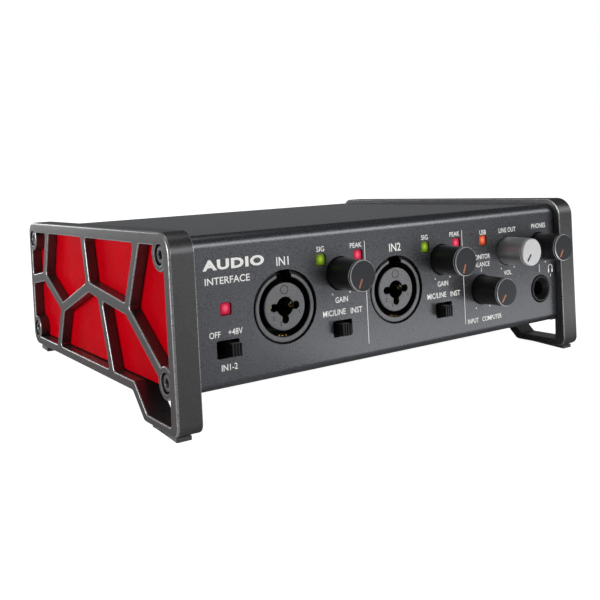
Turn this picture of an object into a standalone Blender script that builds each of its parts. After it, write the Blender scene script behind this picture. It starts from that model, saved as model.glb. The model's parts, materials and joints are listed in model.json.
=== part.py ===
"""Desktop audio interface: a sheet-metal case bolted between two cast side frames.

Everything is laid out square in the case's own frame, and one empty then leans the
whole assembly back on its feet. In the case's frame x runs to the right, y runs
backwards from the front edge of the side frames, and z is the height measured from
their top edge, so most heights are negative. Lengths are in millimetres, and MM
turns them into Blender's metres where a mesh or a location is made.
"""

import math

import bmesh
import bpy
from mathutils import Matrix, Vector

MM = 0.001
GAP = 0.3  # clearance between two pieces that touch

# ---- overall size -------------------------------------------------------------
WIDTH = 186.0
DEPTH = 150.0
FRAME_THICK = 8.7
FRAME_BOTTOM = -53.9
LEG_BOTTOM = -62.3
FRAME_INNER = WIDTH / 2 - FRAME_THICK

# ---- feet: wedges that bring the leaning frames down to one flat plane ----------
FOOT_WIDTH = 5.4
FOOT_CENTRE_X = 89.6
FRONT_FOOT = (3.0, 21.0)
REAR_FOOT = (134.0, 142.0)
FRONT_FOOT_THICK = 1.7
REAR_FOOT_THICK = 1.8
FLOOR_FRONT_Z = LEG_BOTTOM - FRONT_FOOT_THICK
FLOOR_SLOPE = (FRAME_BOTTOM - REAR_FOOT_THICK - FLOOR_FRONT_Z) / (REAR_FOOT[1] - FRONT_FOOT[0])
LEAN = math.atan(FLOOR_SLOPE)

# ---- side frame: border, web and screws -----------------------------------------
BORDER = 4.2
RIB = 4.0
POCKET_DEPTH = 4.0
REBATE_EDGE = 3.4
OUTER_CHAMFER = 0.8
INNER_CHAMFER = 0.4
CELL_CHAMFER = 0.4
CELL_CORNER = 1.2
WEB_TOP = -BORDER
WEB_FRONT = BORDER
WEB_BACK = DEPTH - 3.5
WEB_BOTTOM = FRAME_BOTTOM + 3.5
PLATE_BOTTOM = FRAME_BOTTOM + REBATE_EDGE
SCREWS = ((7.2, -7.0), (145.0, -7.0), (7.2, -46.4), (145.0, -46.9))
BOSS_RADIUS = 5.3
SCREW_HEAD_RADIUS = 2.75
SCREW_SHANK_RADIUS = 1.25
SCREW_RECESS_RADIUS = 3.4
SCREW_RECESS_DEPTH = 2.4

# Junctions of the web's ribs, as (y, z) on their centre lines.
WEB = {
    "front_top": (WEB_FRONT, WEB_TOP),
    "top_1": (25.2, WEB_TOP),
    "top_2": (77.5, WEB_TOP),
    "top_3": (123.3, WEB_TOP),
    "back_top": (WEB_BACK, WEB_TOP),
    "back": (WEB_BACK, -25.3),
    "back_bottom": (WEB_BACK, WEB_BOTTOM),
    "bottom_2": (114.0, WEB_BOTTOM),
    "bottom_1": (53.4, WEB_BOTTOM),
    "step": (33.0, WEB_BOTTOM),
    "leg_back": (23.2, LEG_BOTTOM + 2.7),
    "leg_front": (WEB_FRONT + 0.4, LEG_BOTTOM + 2.7),
    "boss": (WEB_FRONT, -48.4),
    "inner_1": (36.5, -26.9),
    "inner_2": (62.7, -24.0),
    "inner_3": (73.9, -22.5),
    "inner_4": (106.2, -33.7),
    "inner_5": (129.6, -22.8),
}

# Each cell of the web is a loop of junctions. A border edge keeps its place, and a
# rib's edge moves in by half the rib.
CELLS = (
    ("back_top", "top_3", "inner_5", "back"),
    ("top_3", "top_2", "inner_3", "inner_4", "inner_5"),
    ("top_2", "top_1", "inner_1", "inner_3"),
    ("top_1", "front_top", "boss", "inner_1"),
    ("back", "inner_5", "inner_4", "bottom_2", "back_bottom"),
    ("inner_4", "inner_3", "inner_2", "bottom_1", "bottom_2"),
    ("inner_2", "inner_1", "boss", "leg_front", "leg_back", "step", "bottom_1"),
)

# ---- case -----------------------------------------------------------------------
WALL = 1.6
CASE_HALF = FRAME_INNER - GAP
CASE_TOP = -2.0
CASE_BOTTOM = -51.1
FACE_Y = 3.0
CASE_BACK = DEPTH - 2.2
FACE_INSIDE = FACE_Y + WALL
TOP_BEND = 4.0
BOTTOM_BEND = 3.0
LIP_END = 14.0
REAR_THICK = 1.2
REAR_INSIDE = CASE_BACK - REAR_THICK

# ---- boards ----------------------------------------------------------------------
BOARD_THICK = 1.6
MAIN_BOARD_TOP = -44.0
CONTROL_BOARD_Y = 18.0
PILLAR_RADIUS = 2.5

# ---- combo inputs ------------------------------------------------------------------
COMBO_X = {"in_1": -50.8, "in_2": -3.05}
COMBO_Z = -27.9
COMBO_HOLE = 12.35
COMBO_RING = 12.0
COMBO_GROOVE = 10.0
COMBO_INSERT = 7.95
COMBO_CENTRE_HOLE = 3.25
COMBO_PIN_HOLE = 1.35
COMBO_PIN_CIRCLE = 4.3
COMBO_BLOCK = 25.0
COMBO_BACK = 32.0
COMBO_FLOOR = 15.0
COMBO_KEYWAY = 5.4

# ---- knobs: name, x, z ---------------------------------------------------------------
KNOBS = (
    ("gain_1", -27.9, -19.3),
    ("gain_2", 19.7, -19.3),
    ("line_out", 55.4, -19.2),
    ("phones", 74.4, -19.1),
    ("balance", 40.4, -33.1),
)
KNOB_HOLE = 6.6
KNOB_TIP_RADIUS = 5.35
KNOB_BASE_RADIUS = 5.65
KNOB_TIP_Y = -9.8
CAP_THICK = 1.2
KNOB_BASE_Y = 5.6
SHAFT_RADIUS = 1.9
POT_Y = 12.7
BUSHING_RADIUS = 3.4
BUSHING_Y = 7.6
POINTER_ANGLE = math.radians(240.0)

# ---- slide switches: name, x, side that the lever rests on ------------------------------
SWITCHES = (
    ("phantom", -72.85, 1),
    ("input_1", -27.95, -1),
    ("input_2", 19.7, -1),
)
SWITCH_Z = -38.3
SLOT_WIDTH = 8.2
SLOT_HEIGHT = 5.7
LEVER_WIDTH = 3.6
LEVER_HEIGHT = 4.1
LEVER_TRAVEL = 2.1
LEVER_TIP_Y = -1.0
LEVER_BACK_Y = 9.7
SWITCH_BODY = (12.5, 7.2)
SWITCH_BODY_Y = 7.0

# ---- lights: name, x, z, colour --------------------------------------------------------
LIGHTS = (
    ("phantom", -73.1, -25.5, "red"),
    ("signal_1", -35.8, -13.7, "green"),
    ("peak_1", -19.9, -13.7, "red"),
    ("signal_2", 11.6, -13.7, "green"),
    ("peak_2", 27.6, -13.7, "red"),
    ("usb", 42.0, -13.7, "orange"),
)
LIGHT_SIZE = 3.4
LIGHT_CORNER = 0.8
LIGHT_PROUD = 0.3

# ---- jacks and sockets ---------------------------------------------------------------------
JACK_BORE = 3.25
PHONES_X = 74.4
PHONES_Z = -36.4
PHONES_HOLE = 5.8
PHONES_RING = 5.4
LINE_OUT_X = (-62.0, -41.0)
LINE_OUT_Z = -34.0
LINE_OUT_RING = 4.4
MIDI_X = (-13.0, 12.0)
MIDI_Z = -31.5
MIDI_BARREL = 7.8
MIDI_RECESS = 6.9
MIDI_CORE = 5.9
USB_X = 37.0
DC_X = 54.0
PLUG_SOCKET_Z = -41.6
LOCK_SLOT = (72.0, -38.0, 7.0, 3.0)

# ---- materials: colour, roughness, metallic --------------------------------------------------
FINISHES = {
    "case_paint": ((0.035, 0.036, 0.039), 0.45, 0.6),
    "frame_casting": ((0.075, 0.077, 0.080), 0.42, 0.8),
    "red_plate": ((0.55, 0.004, 0.012), 0.18, 0.0),
    "screw_steel": ((0.04, 0.04, 0.042), 0.35, 1.0),
    "foot_rubber": ((0.16, 0.16, 0.155), 0.85, 0.0),
    "knob_black": ((0.012, 0.012, 0.013), 0.4, 0.0),
    "knob_silver": ((0.33, 0.33, 0.33), 0.35, 0.9),
    "cap_graphite": ((0.11, 0.115, 0.12), 0.35, 0.9),
    "cap_silver": ((0.72, 0.72, 0.72), 0.35, 0.9),
    "black_plastic": ((0.01, 0.01, 0.011), 0.5, 0.0),
    "jack_face": ((0.08, 0.082, 0.086), 0.5, 0.0),
    "light_red": ((0.85, 0.03, 0.05), 0.2, 0.0),
    "light_green": ((0.35, 0.75, 0.02), 0.2, 0.0),
    "light_orange": ((0.95, 0.22, 0.03), 0.2, 0.0),
    "circuit_board": ((0.01, 0.11, 0.05), 0.4, 0.0),
    "tin": ((0.6, 0.6, 0.58), 0.3, 1.0),
}


# ==== small geometry helpers ======================================================================


def side_plane(sign):
    """Maps a drawing in (y, z) and a depth from the frame's inner face to 3-D."""
    return lambda a, b, depth: Vector((sign * (FRAME_INNER + depth), a, b))


def front_plane(a, b, depth):
    """Maps a drawing in (x, z) and a distance along y to 3-D."""
    return Vector((a, depth, b))


def profile_plane(a, b, depth):
    """Maps a drawing in (y, z) and a distance along x to 3-D."""
    return Vector((depth, a, b))


def level_plane(a, b, depth):
    """Maps a drawing in (x, y) and a distance along z to 3-D."""
    return Vector((a, b, depth))


def signed_area(points):
    """The area of a closed outline, positive when it runs anticlockwise."""
    pairs = zip(points, points[1:] + points[:1])
    return sum(a.x * b.y - b.x * a.y for a, b in pairs) / 2


def anticlockwise(points):
    """The same outline, running anticlockwise."""
    return points if signed_area(points) > 0 else points[::-1]


def rounded(corners, radii, step=30.0):
    """An outline with its corners rounded, one point for every step degrees of the
    arcs. A radius of 0 leaves a corner sharp."""
    points = []
    for i, corner in enumerate(corners):
        before = (corners[i - 1] - corner).normalized()
        after = (corners[(i + 1) % len(corners)] - corner).normalized()
        radius = radii[i]
        if radius <= 0:
            points.append(corner)
            continue
        half = before.angle(after) / 2
        centre = corner + (before + after).normalized() * (radius / math.sin(half))
        start = corner + before * (radius / math.tan(half))
        sweep = math.pi - 2 * half
        steps = max(1, round(sweep / math.radians(step)))
        turn = 1 if before.cross(after) < 0 else -1
        arm = start - centre
        for k in range(steps + 1):
            angle = turn * sweep * k / steps
            points.append(centre + Matrix.Rotation(angle, 2) @ arm)
    return points


def moved_in(points, distances):
    """An anticlockwise outline with each edge moved inwards by its own distance."""
    count = len(points)
    result = []
    for i in range(count):
        into = (points[i] - points[i - 1]).normalized()
        out = (points[(i + 1) % count] - points[i]).normalized()
        normal_in = Vector((-into.y, into.x))
        normal_out = Vector((-out.y, out.x))
        first = distances[i - 1]
        second = distances[i]
        turn = into.cross(out)
        if abs(turn) < 1e-6:
            result.append(points[i] + normal_out * second)
            continue
        # The two moved edges meet at the point that lies at both distances.
        along = (second - first * into.dot(out)) / turn
        result.append(points[i] + normal_in * first - into * along)
    return result


def bitten(points, centre, radius):
    """An outline whose stretch inside a circle is replaced by the circle's arc."""
    inside = [(p - centre).length < radius for p in points]
    if not any(inside):
        return points
    count = len(points)
    first = next(i for i in range(count) if inside[i] and not inside[i - 1])
    order = [points[(first + k) % count] for k in range(count)]
    kept = [p for p in order if (p - centre).length >= radius]
    enter = circle_crossing(kept[-1], order[0], centre, radius)
    last_inside = order[count - len(kept) - 1]
    leave = circle_crossing(kept[0], last_inside, centre, radius)
    start = math.atan2(enter.y - centre.y, enter.x - centre.x)
    end = math.atan2(leave.y - centre.y, leave.x - centre.x)
    sweep = (end - start) % (2 * math.pi)
    middle = centre + Vector((math.cos(start + sweep / 2), math.sin(start + sweep / 2))) * radius
    if not inside_outline(middle, points):
        sweep -= 2 * math.pi
    steps = max(3, round(abs(sweep) / math.radians(24)))
    arc = []
    for k in range(steps + 1):
        angle = start + sweep * k / steps
        arc.append(centre + Vector((math.cos(angle), math.sin(angle))) * radius)
    return arc + kept


def circle_crossing(outer, inner, centre, radius):
    """The point where the line from outer to inner enters a circle."""
    low, high = 0.0, 1.0
    for _ in range(40):
        middle = (low + high) / 2
        if (outer.lerp(inner, middle) - centre).length > radius:
            low = middle
        else:
            high = middle
    return outer.lerp(inner, low)


def inside_outline(point, points):
    """Whether a point lies inside a closed outline."""
    inside = False
    for a, b in zip(points, points[1:] + points[:1]):
        if (a.y > point.y) != (b.y > point.y):
            if point.x < a.x + (point.y - a.y) / (b.y - a.y) * (b.x - a.x):
                inside = not inside
    return inside


def rectangle(centre_a, centre_b, width, height, corner=0.0, step=45.0):
    """A rectangle's outline, with rounded corners if a corner radius is given."""
    corners = [
        Vector((centre_a + sx * width / 2, centre_b + sy * height / 2))
        for sx, sy in ((-1, -1), (1, -1), (1, 1), (-1, 1))
    ]
    return rounded(corners, [corner] * 4, step)


def circle(centre_a, centre_b, radius, steps):
    """A circle's outline."""
    angles = [2 * math.pi * k / steps for k in range(steps)]
    return [Vector((centre_a + radius * math.cos(t), centre_b + radius * math.sin(t))) for t in angles]


# ==== making meshes and objects ===================================================================


def add_slab(bm, loops, place):
    """Adds a plate to bm. loops holds (outline, levels), the outer outline first and
    then the holes. A level is (depth, shrink), where shrink draws the material back
    from that outline, so a chamfer is one extra level."""
    cap_edges = {0: [], -1: []}
    for number, (outline, levels) in enumerate(loops):
        outline = anticlockwise(outline)
        direction = 1 if number == 0 else -1
        rings = []
        for depth, shrink in levels:
            shifted = moved_in(outline, [direction * shrink] * len(outline)) if shrink else outline
            rings.append([bm.verts.new(place(p.x, p.y, depth) * MM) for p in shifted])
        count = len(outline)
        for lower, upper in zip(rings, rings[1:]):
            for i in range(count):
                j = (i + 1) % count
                bm.faces.new((lower[i], lower[j], upper[j], upper[i]))
        for end in cap_edges:
            ring = rings[end]
            for i in range(count):
                cap_edges[end].append(bm.edges.get((ring[i], ring[(i + 1) % count])))
    for edges in cap_edges.values():
        bmesh.ops.triangle_fill(bm, use_beauty=True, use_dissolve=False, edges=edges)


def add_prism(bm, outline, start, end, place):
    """Adds a plain extruded outline."""
    add_slab(bm, [(outline, [(start, 0.0), (end, 0.0)])], place)


def add_box(bm, low, high):
    """Adds a box between two corners."""
    outline = rectangle((low[0] + high[0]) / 2, (low[1] + high[1]) / 2, high[0] - low[0], high[1] - low[1])
    add_prism(bm, outline, low[2], high[2], level_plane)


def add_turned(bm, profile, steps, centre=(0.0, 0.0)):
    """Adds a solid turned about a line along y. profile is a list of (radius, y), and
    it starts and ends on the axis, or closes on itself for a ring."""
    rings = []
    for radius, y in profile:
        if radius < 1e-6:
            rings.append([bm.verts.new(Vector((centre[0], y, centre[1])) * MM)])
        else:
            ring = circle(centre[0], centre[1], radius, steps)
            rings.append([bm.verts.new(front_plane(p.x, p.y, y) * MM) for p in ring])
    closed = profile[0][0] > 1e-6
    pairs = list(zip(rings, rings[1:]))
    if closed:
        pairs.append((rings[-1], rings[0]))
    for lower, upper in pairs:
        for i in range(steps):
            j = (i + 1) % steps
            if len(lower) == 1:
                bm.faces.new((lower[0], upper[j], upper[i]))
            elif len(upper) == 1:
                bm.faces.new((lower[i], lower[j], upper[0]))
            else:
                bm.faces.new((lower[i], lower[j], upper[j], upper[i]))


def mesh_from(name, bm, smooth_angle=30.0):
    """Turns bm into a mesh with outward faces."""
    bmesh.ops.recalc_face_normals(bm, faces=bm.faces)
    mesh = bpy.data.meshes.new(name)
    bm.to_mesh(mesh)
    bm.free()
    mesh.shade_smooth()
    mesh.set_sharp_from_angle(angle=math.radians(smooth_angle))
    return mesh


def add_object(name, mesh, finish, location=(0.0, 0.0, 0.0)):
    """Adds a part to the case's frame, with its own material."""
    part = bpy.data.objects.new(name, mesh)
    bpy.context.scene.collection.objects.link(part)
    part.parent = STAND
    part.location = Vector(location) * MM
    part.data.materials.clear()
    part.data.materials.append(MATERIALS[finish])
    return part


def cut(part, bm, operation="DIFFERENCE"):
    """Cuts bm's shape out of a part, or joins it to the part."""
    number = len(part.modifiers) + 1
    name = f"{part.name}_tool_{number}"
    tool = bpy.data.objects.new(name, mesh_from(name, bm))
    bpy.context.scene.collection.objects.link(tool)
    tool.parent = STAND
    tool.location = part.location
    tool.hide_render = True
    tool.display_type = "WIRE"
    modifier = part.modifiers.new(f"{operation.lower()}_{number}", "BOOLEAN")
    modifier.operation = operation
    modifier.solver = "EXACT"
    modifier.object = tool


def make_materials():
    """One Principled material for each finish."""
    made = {}
    for name, (colour, roughness, metallic) in FINISHES.items():
        material = bpy.data.materials.new(name)
        material.use_nodes = True
        shader = material.node_tree.nodes["Principled BSDF"]
        shader.inputs["Base Color"].default_value = (*colour, 1.0)
        shader.inputs["Roughness"].default_value = roughness
        shader.inputs["Metallic"].default_value = metallic
        material.diffuse_color = (*colour, 1.0)
        made[name] = material
    return made


# ==== side frames, plates, screws and feet ========================================================


def frame_outline():
    """The side frame's outer outline, with its short front leg."""
    corners = [
        Vector((0.0, 0.0)),
        Vector((0.0, LEG_BOTTOM)),
        Vector((25.9, LEG_BOTTOM)),
        Vector((34.8, FRAME_BOTTOM)),
        Vector((DEPTH, FRAME_BOTTOM)),
        Vector((DEPTH, 0.0)),
    ]
    return rounded(corners, [7.0, 3.5, 3.0, 3.0, 6.0, 5.0], 18.0)


def is_border(start, end):
    """Whether the edge between two junctions lies along the frame's border."""
    return not start.startswith("inner") and not end.startswith("inner")


def cell_outline(junctions):
    """One opening of the web, with rounded corners and its screw boss left standing."""
    names = list(junctions)
    points = [Vector(WEB[n]) for n in names]
    if signed_area(points) < 0:
        names.reverse()
        points.reverse()
    following = names[1:] + names[:1]
    distances = [0.0 if is_border(a, b) else RIB / 2 for a, b in zip(names, following)]
    corners = moved_in(points, distances)
    outline = rounded(corners, [CELL_CORNER] * len(corners), 40.0)
    for screw in SCREWS:
        outline = bitten(outline, Vector(screw), BOSS_RADIUS)
    return outline


def make_side_frame(side, sign):
    """A cast frame: chamfered border, web of ribs, rebate for the plate, screw recesses."""
    place = side_plane(sign)
    face = FRAME_THICK
    border_levels = [
        (0.0, INNER_CHAMFER),
        (INNER_CHAMFER, 0.0),
        (face - OUTER_CHAMFER, 0.0),
        (face, OUTER_CHAMFER),
    ]
    cell_levels = [(0.0, 0.0), (face - CELL_CHAMFER, 0.0), (face, CELL_CHAMFER)]
    loops = [(frame_outline(), border_levels)]
    loops += [(cell_outline(cell), cell_levels) for cell in CELLS]
    bm = bmesh.new()
    add_slab(bm, loops, place)
    frame = add_object(f"side_frame_{side}", mesh_from("side_frame", bm), "frame_casting")

    rebate = bmesh.new()
    middle_z = (PLATE_BOTTOM - REBATE_EDGE) / 2
    height = -REBATE_EDGE - PLATE_BOTTOM
    opening = rectangle(DEPTH / 2, middle_z, DEPTH - 2 * REBATE_EDGE, height, 2.0)
    add_prism(rebate, opening, -1.0, face - POCKET_DEPTH + GAP, place)
    cut(frame, rebate)

    holes = bmesh.new()
    recess = face - SCREW_RECESS_DEPTH
    for y, z in SCREWS:
        profile = [(0.0, -1.0), (SCREW_SHANK_RADIUS + 0.35, -1.0), (SCREW_SHANK_RADIUS + 0.35, recess)]
        profile += [(SCREW_RECESS_RADIUS, recess), (SCREW_RECESS_RADIUS, face + 1.0), (0.0, face + 1.0)]
        add_turned_across(holes, profile, 16, y, z, place)
    cut(frame, holes)


def add_turned_across(bm, profile, steps, y, z, place):
    """Adds a solid turned about a line along x. profile is a list of (radius, depth)."""
    start = len(bm.verts)
    add_turned(bm, profile, steps)
    bm.verts.ensure_lookup_table()
    for vert in bm.verts[start:]:
        local = vert.co / MM
        vert.co = place(y + local.x, z + local.z, local.y) * MM


def make_side_plate(side, sign):
    """The red tray behind the web: a plate with a shallow rim that faces the case."""
    place = side_plane(sign)
    outer = FRAME_THICK - POCKET_DEPTH
    skin = 2.0
    rim = 1.6
    edge = REBATE_EDGE + 0.4
    height = -edge - (PLATE_BOTTOM + 0.4)
    middle_z = -edge - height / 2
    outline = rectangle(DEPTH / 2, middle_z, DEPTH - 2 * edge, height, 2.0)
    bm = bmesh.new()
    add_slab(bm, [(outline, [(0.2, 0.0), (outer - 0.4, 0.0), (outer, 0.4)])], place)
    plate = add_object(f"side_plate_{side}", mesh_from("side_plate", bm), "red_plate")

    hollow = bmesh.new()
    inner = rectangle(DEPTH / 2, middle_z, DEPTH - 2 * (edge + rim), height - 2 * rim)
    add_prism(hollow, inner, -1.0, outer - skin, place)
    cut(plate, hollow)

    holes = bmesh.new()
    for y, z in SCREWS:
        radius = SCREW_SHANK_RADIUS + 0.35
        profile = [(0.0, -2.0), (radius, -2.0), (radius, outer + 1.0), (0.0, outer + 1.0)]
        add_turned_across(holes, profile, 12, y, z, place)
    cut(plate, holes)


def make_side_screws(side, sign):
    """Four socket-head screws, which pass through frame, plate and case wall."""
    place = side_plane(sign)
    top = FRAME_THICK - 0.5
    under = FRAME_THICK - SCREW_RECESS_DEPTH + GAP
    profile = [
        (0.0, -4.0),
        (SCREW_SHANK_RADIUS, -4.0),
        (SCREW_SHANK_RADIUS, under),
        (SCREW_HEAD_RADIUS, under),
        (SCREW_HEAD_RADIUS, top - 0.3),
        (SCREW_HEAD_RADIUS - 0.3, top),
        (1.3, top),
        (1.3, top - 1.0),
        (0.0, top - 1.0),
    ]
    for number, (y, z) in enumerate(SCREWS, start=1):
        bm = bmesh.new()
        add_turned_across(bm, profile, 10, y, z, place)
        add_object(f"screw_{side}_{number}", mesh_from("screw", bm), "screw_steel")


def floor_z(y):
    """The height of the surface that the object stands on, in the case's frame."""
    return FLOOR_FRONT_Z + FLOOR_SLOPE * (y - FRONT_FOOT[0])


def make_feet():
    """Rubber wedges under the frames, cut to meet the floor."""
    pads = (("front", FRONT_FOOT, LEG_BOTTOM), ("rear", REAR_FOOT, FRAME_BOTTOM))
    for side, sign in (("left", -1), ("right", 1)):
        for place_name, (start, end), top in pads:
            outline = [
                Vector((start, floor_z(start))),
                Vector((end, floor_z(end))),
                Vector((end, top - GAP)),
                Vector((start, top - GAP)),
            ]
            bm = bmesh.new()
            near = sign * FOOT_CENTRE_X - FOOT_WIDTH / 2
            add_prism(bm, outline, near, near + FOOT_WIDTH, profile_plane)
            add_object(f"foot_{place_name}_{side}", mesh_from("foot", bm), "foot_rubber")


# ==== case ========================================================================================


def case_profile(shrink=0.0, back=CASE_BACK):
    """The case's outline from the side, with bent front edges."""
    front = FACE_Y + shrink
    top = CASE_TOP - shrink
    bottom = CASE_BOTTOM + shrink
    corners = [
        Vector((front, top)),
        Vector((front, bottom)),
        Vector((back, bottom)),
        Vector((back, top)),
    ]
    return rounded(corners, [TOP_BEND - shrink, BOTTOM_BEND - shrink, 0.0, 0.0], 15.0)


def make_case_shell():
    """Front, top, sides and the front lip of the bottom, folded from one sheet."""
    bm = bmesh.new()
    add_prism(bm, case_profile(), -CASE_HALF, CASE_HALF, profile_plane)
    shell = add_object("case_shell", mesh_from("case_shell", bm), "case_paint")

    hollow = bmesh.new()
    half = CASE_HALF - WALL
    add_prism(hollow, case_profile(WALL, CASE_BACK + 5.0), -half, half, profile_plane)
    cut(shell, hollow)

    below = bmesh.new()
    add_box(below, (-half, LIP_END, CASE_BOTTOM - 5.0), (half, CASE_BACK + 5.0, CASE_BOTTOM + WALL + 1.0))
    cut(shell, below)

    cut(shell, front_cutouts())


def front_cutouts():
    """The holes in the front of the case and the screw holes in its sides."""
    bm = bmesh.new()
    start = FACE_Y - 2.0
    end = FACE_INSIDE + 2.0
    for x in COMBO_X.values():
        add_prism(bm, circle(x, COMBO_Z, COMBO_HOLE, 36), start, end, front_plane)
    add_prism(bm, circle(PHONES_X, PHONES_Z, PHONES_HOLE, 24), start, end, front_plane)
    for _, x, z in KNOBS:
        add_prism(bm, circle(x, z, KNOB_HOLE, 24), start, end, front_plane)
    for _, x, _ in SWITCHES:
        slot = rectangle(x, SWITCH_Z, SLOT_WIDTH, SLOT_HEIGHT, 0.6)
        add_prism(bm, slot, start, end, front_plane)
    for _, x, z, _ in LIGHTS:
        size = LIGHT_SIZE + 2 * GAP
        add_prism(bm, rectangle(x, z, size, size, LIGHT_CORNER + GAP), start, end, front_plane)
    radius = SCREW_SHANK_RADIUS + 0.35
    for y, z in SCREWS:
        for sign in (-1, 1):
            profile = [(0.0, -5.0), (radius, -5.0), (radius, 1.0), (0.0, 1.0)]
            add_turned_across(bm, profile, 12, y, z, side_plane(sign))
    return bm


def make_bottom_plate():
    """The bottom cover, with four pressed pillars that carry the main board."""
    bm = bmesh.new()
    half = CASE_HALF - WALL - GAP
    add_box(bm, (-half, LIP_END + GAP, CASE_BOTTOM), (half, REAR_INSIDE - GAP, CASE_BOTTOM + WALL))
    plate = add_object("bottom_plate", mesh_from("bottom_plate", bm), "case_paint")
    pillars = bmesh.new()
    top = MAIN_BOARD_TOP - BOARD_THICK - GAP
    for x in (-70.0, 70.0):
        for y in (40.0, 132.0):
            add_prism(pillars, circle(x, y, PILLAR_RADIUS, 16), CASE_BOTTOM + 0.5, top, level_plane)
    cut(plate, pillars, "UNION")


def make_rear_panel():
    """The rear wall, with its openings for the sockets and a lock slot."""
    bm = bmesh.new()
    half = CASE_HALF - WALL - GAP
    top = CASE_TOP - WALL - GAP
    add_box(bm, (-half, REAR_INSIDE, CASE_BOTTOM), (half, CASE_BACK, top))
    panel = add_object("rear_panel", mesh_from("rear_panel", bm), "case_paint")
    holes = bmesh.new()
    start = REAR_INSIDE - 2.0
    end = CASE_BACK + 2.0
    for x in LINE_OUT_X:
        add_prism(holes, circle(x, LINE_OUT_Z, LINE_OUT_RING + GAP, 24), start, end, front_plane)
    for x in MIDI_X:
        add_prism(holes, circle(x, MIDI_Z, MIDI_BARREL + GAP, 28), start, end, front_plane)
    for x, width, height in ((USB_X, 9.0, 3.3), (DC_X, 7.6, 2.9)):
        opening = rectangle(x, PLUG_SOCKET_Z, width + 2 * GAP, height + 2 * GAP, 1.2)
        add_prism(holes, opening, start, end, front_plane)
    x, z, width, height = LOCK_SLOT
    add_prism(holes, rectangle(x, z, width, height, 0.8), start, end, front_plane)
    cut(panel, holes)


# ==== boards ======================================================================================


def make_boards():
    """The main board, the upright control board, and the header that joins them."""
    bm = bmesh.new()
    add_box(bm, (-78.0, 21.0, MAIN_BOARD_TOP - BOARD_THICK), (78.0, 145.0, MAIN_BOARD_TOP))
    add_object("main_board", mesh_from("main_board", bm), "circuit_board")

    end = CONTROL_BOARD_Y + BOARD_THICK
    outline = rectangle(0.0, -24.6, 160.0, 37.6)
    levels = [(CONTROL_BOARD_Y, 0.0), (end, 0.0)]
    loops = [(outline, levels)]
    for x in COMBO_X.values():
        size = COMBO_BLOCK + 1.0
        loops.append((rectangle(x, COMBO_Z, size, size), levels))
    loops.append((rectangle(PHONES_X - 1.0, PHONES_Z + 0.6, 10.6, 12.4), levels))
    bm = bmesh.new()
    add_slab(bm, loops, front_plane)
    add_object("control_board", mesh_from("control_board", bm), "circuit_board")

    bm = bmesh.new()
    low_z = MAIN_BOARD_TOP + GAP
    add_box(bm, (24.0, end + GAP, low_z), (50.0, end + GAP + 5.0, low_z + 8.5))
    add_object("board_link", mesh_from("board_link", bm), "black_plastic")


# ==== combo inputs ================================================================================


def make_combo(name, x):
    """A combo input: an outer housing with a keyed ring, and the insert inside it."""
    half = COMBO_BLOCK / 2
    block_front = FACE_INSIDE + 0.6
    ring_front = FACE_Y + 0.3
    bm = bmesh.new()
    add_box(bm, (-half, block_front, -half), (half, COMBO_BACK, half))
    where = (x, 0.0, COMBO_Z)
    housing = add_object(f"combo_housing_{name}", mesh_from("combo_housing", bm), "jack_face", where)

    ring = bmesh.new()
    profile = [
        (0.0, ring_front),
        (COMBO_RING - 0.3, ring_front),
        (COMBO_RING, ring_front + 0.3),
        (COMBO_RING, block_front + 2.0),
        (0.0, block_front + 2.0),
    ]
    add_turned(ring, profile, 36)
    cut(housing, ring, "UNION")

    cavity = bmesh.new()
    profile = [
        (0.0, ring_front - 2.0),
        (COMBO_GROOVE, ring_front - 2.0),
        (COMBO_GROOVE, COMBO_FLOOR),
        (COMBO_CENTRE_HOLE, COMBO_FLOOR),
        (COMBO_CENTRE_HOLE, COMBO_BACK - 1.5),
        (0.0, COMBO_BACK - 1.5),
    ]
    add_turned(cavity, profile, 30)
    cut(housing, cavity)

    keyway = bmesh.new()
    key_half = COMBO_KEYWAY / 2
    add_box(keyway, (-key_half, ring_front - 2.0, COMBO_GROOVE - 2.0), (key_half, 10.0, COMBO_RING - 0.25))
    cut(housing, keyway)

    insert_front = FACE_Y + 0.5
    bm = bmesh.new()
    profile = [
        (0.0, insert_front),
        (COMBO_INSERT - 0.4, insert_front),
        (COMBO_INSERT, insert_front + 0.4),
        (COMBO_INSERT, COMBO_FLOOR - GAP),
        (0.0, COMBO_FLOOR - GAP),
    ]
    add_turned(bm, profile, 30)
    insert = add_object(f"combo_insert_{name}", mesh_from("combo_insert", bm), "jack_face", where)
    start = insert_front - 2.0
    centre_hole = bmesh.new()
    outline = circle(0.0, 0.0, COMBO_CENTRE_HOLE, 18)
    add_prism(centre_hole, outline, start, COMBO_FLOOR + 2.0, front_plane)
    cut(insert, centre_hole)
    pins = bmesh.new()
    for angle in (0.0, math.pi, 1.5 * math.pi):
        a = COMBO_PIN_CIRCLE * math.cos(angle)
        b = COMBO_PIN_CIRCLE * math.sin(angle)
        add_prism(pins, circle(a, b, COMBO_PIN_HOLE, 10), start, COMBO_FLOOR - 2.0, front_plane)
    cut(insert, pins)


# ==== knobs =======================================================================================


def knob_mesh():
    """A slim knob with its shaft, turned about y, measured from the case's face."""
    tip = KNOB_TIP_Y + CAP_THICK + GAP - FACE_Y
    base = KNOB_BASE_Y - FACE_Y
    profile = [
        (0.0, tip),
        (KNOB_TIP_RADIUS, tip),
        (KNOB_BASE_RADIUS, base - 0.4),
        (KNOB_BASE_RADIUS - 0.4, base),
        (SHAFT_RADIUS, base),
        (SHAFT_RADIUS, POT_Y - 0.5 - FACE_Y),
        (0.0, POT_Y - 0.5 - FACE_Y),
    ]
    bm = bmesh.new()
    add_turned(bm, profile, 24)
    return mesh_from("knob", bm)


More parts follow.
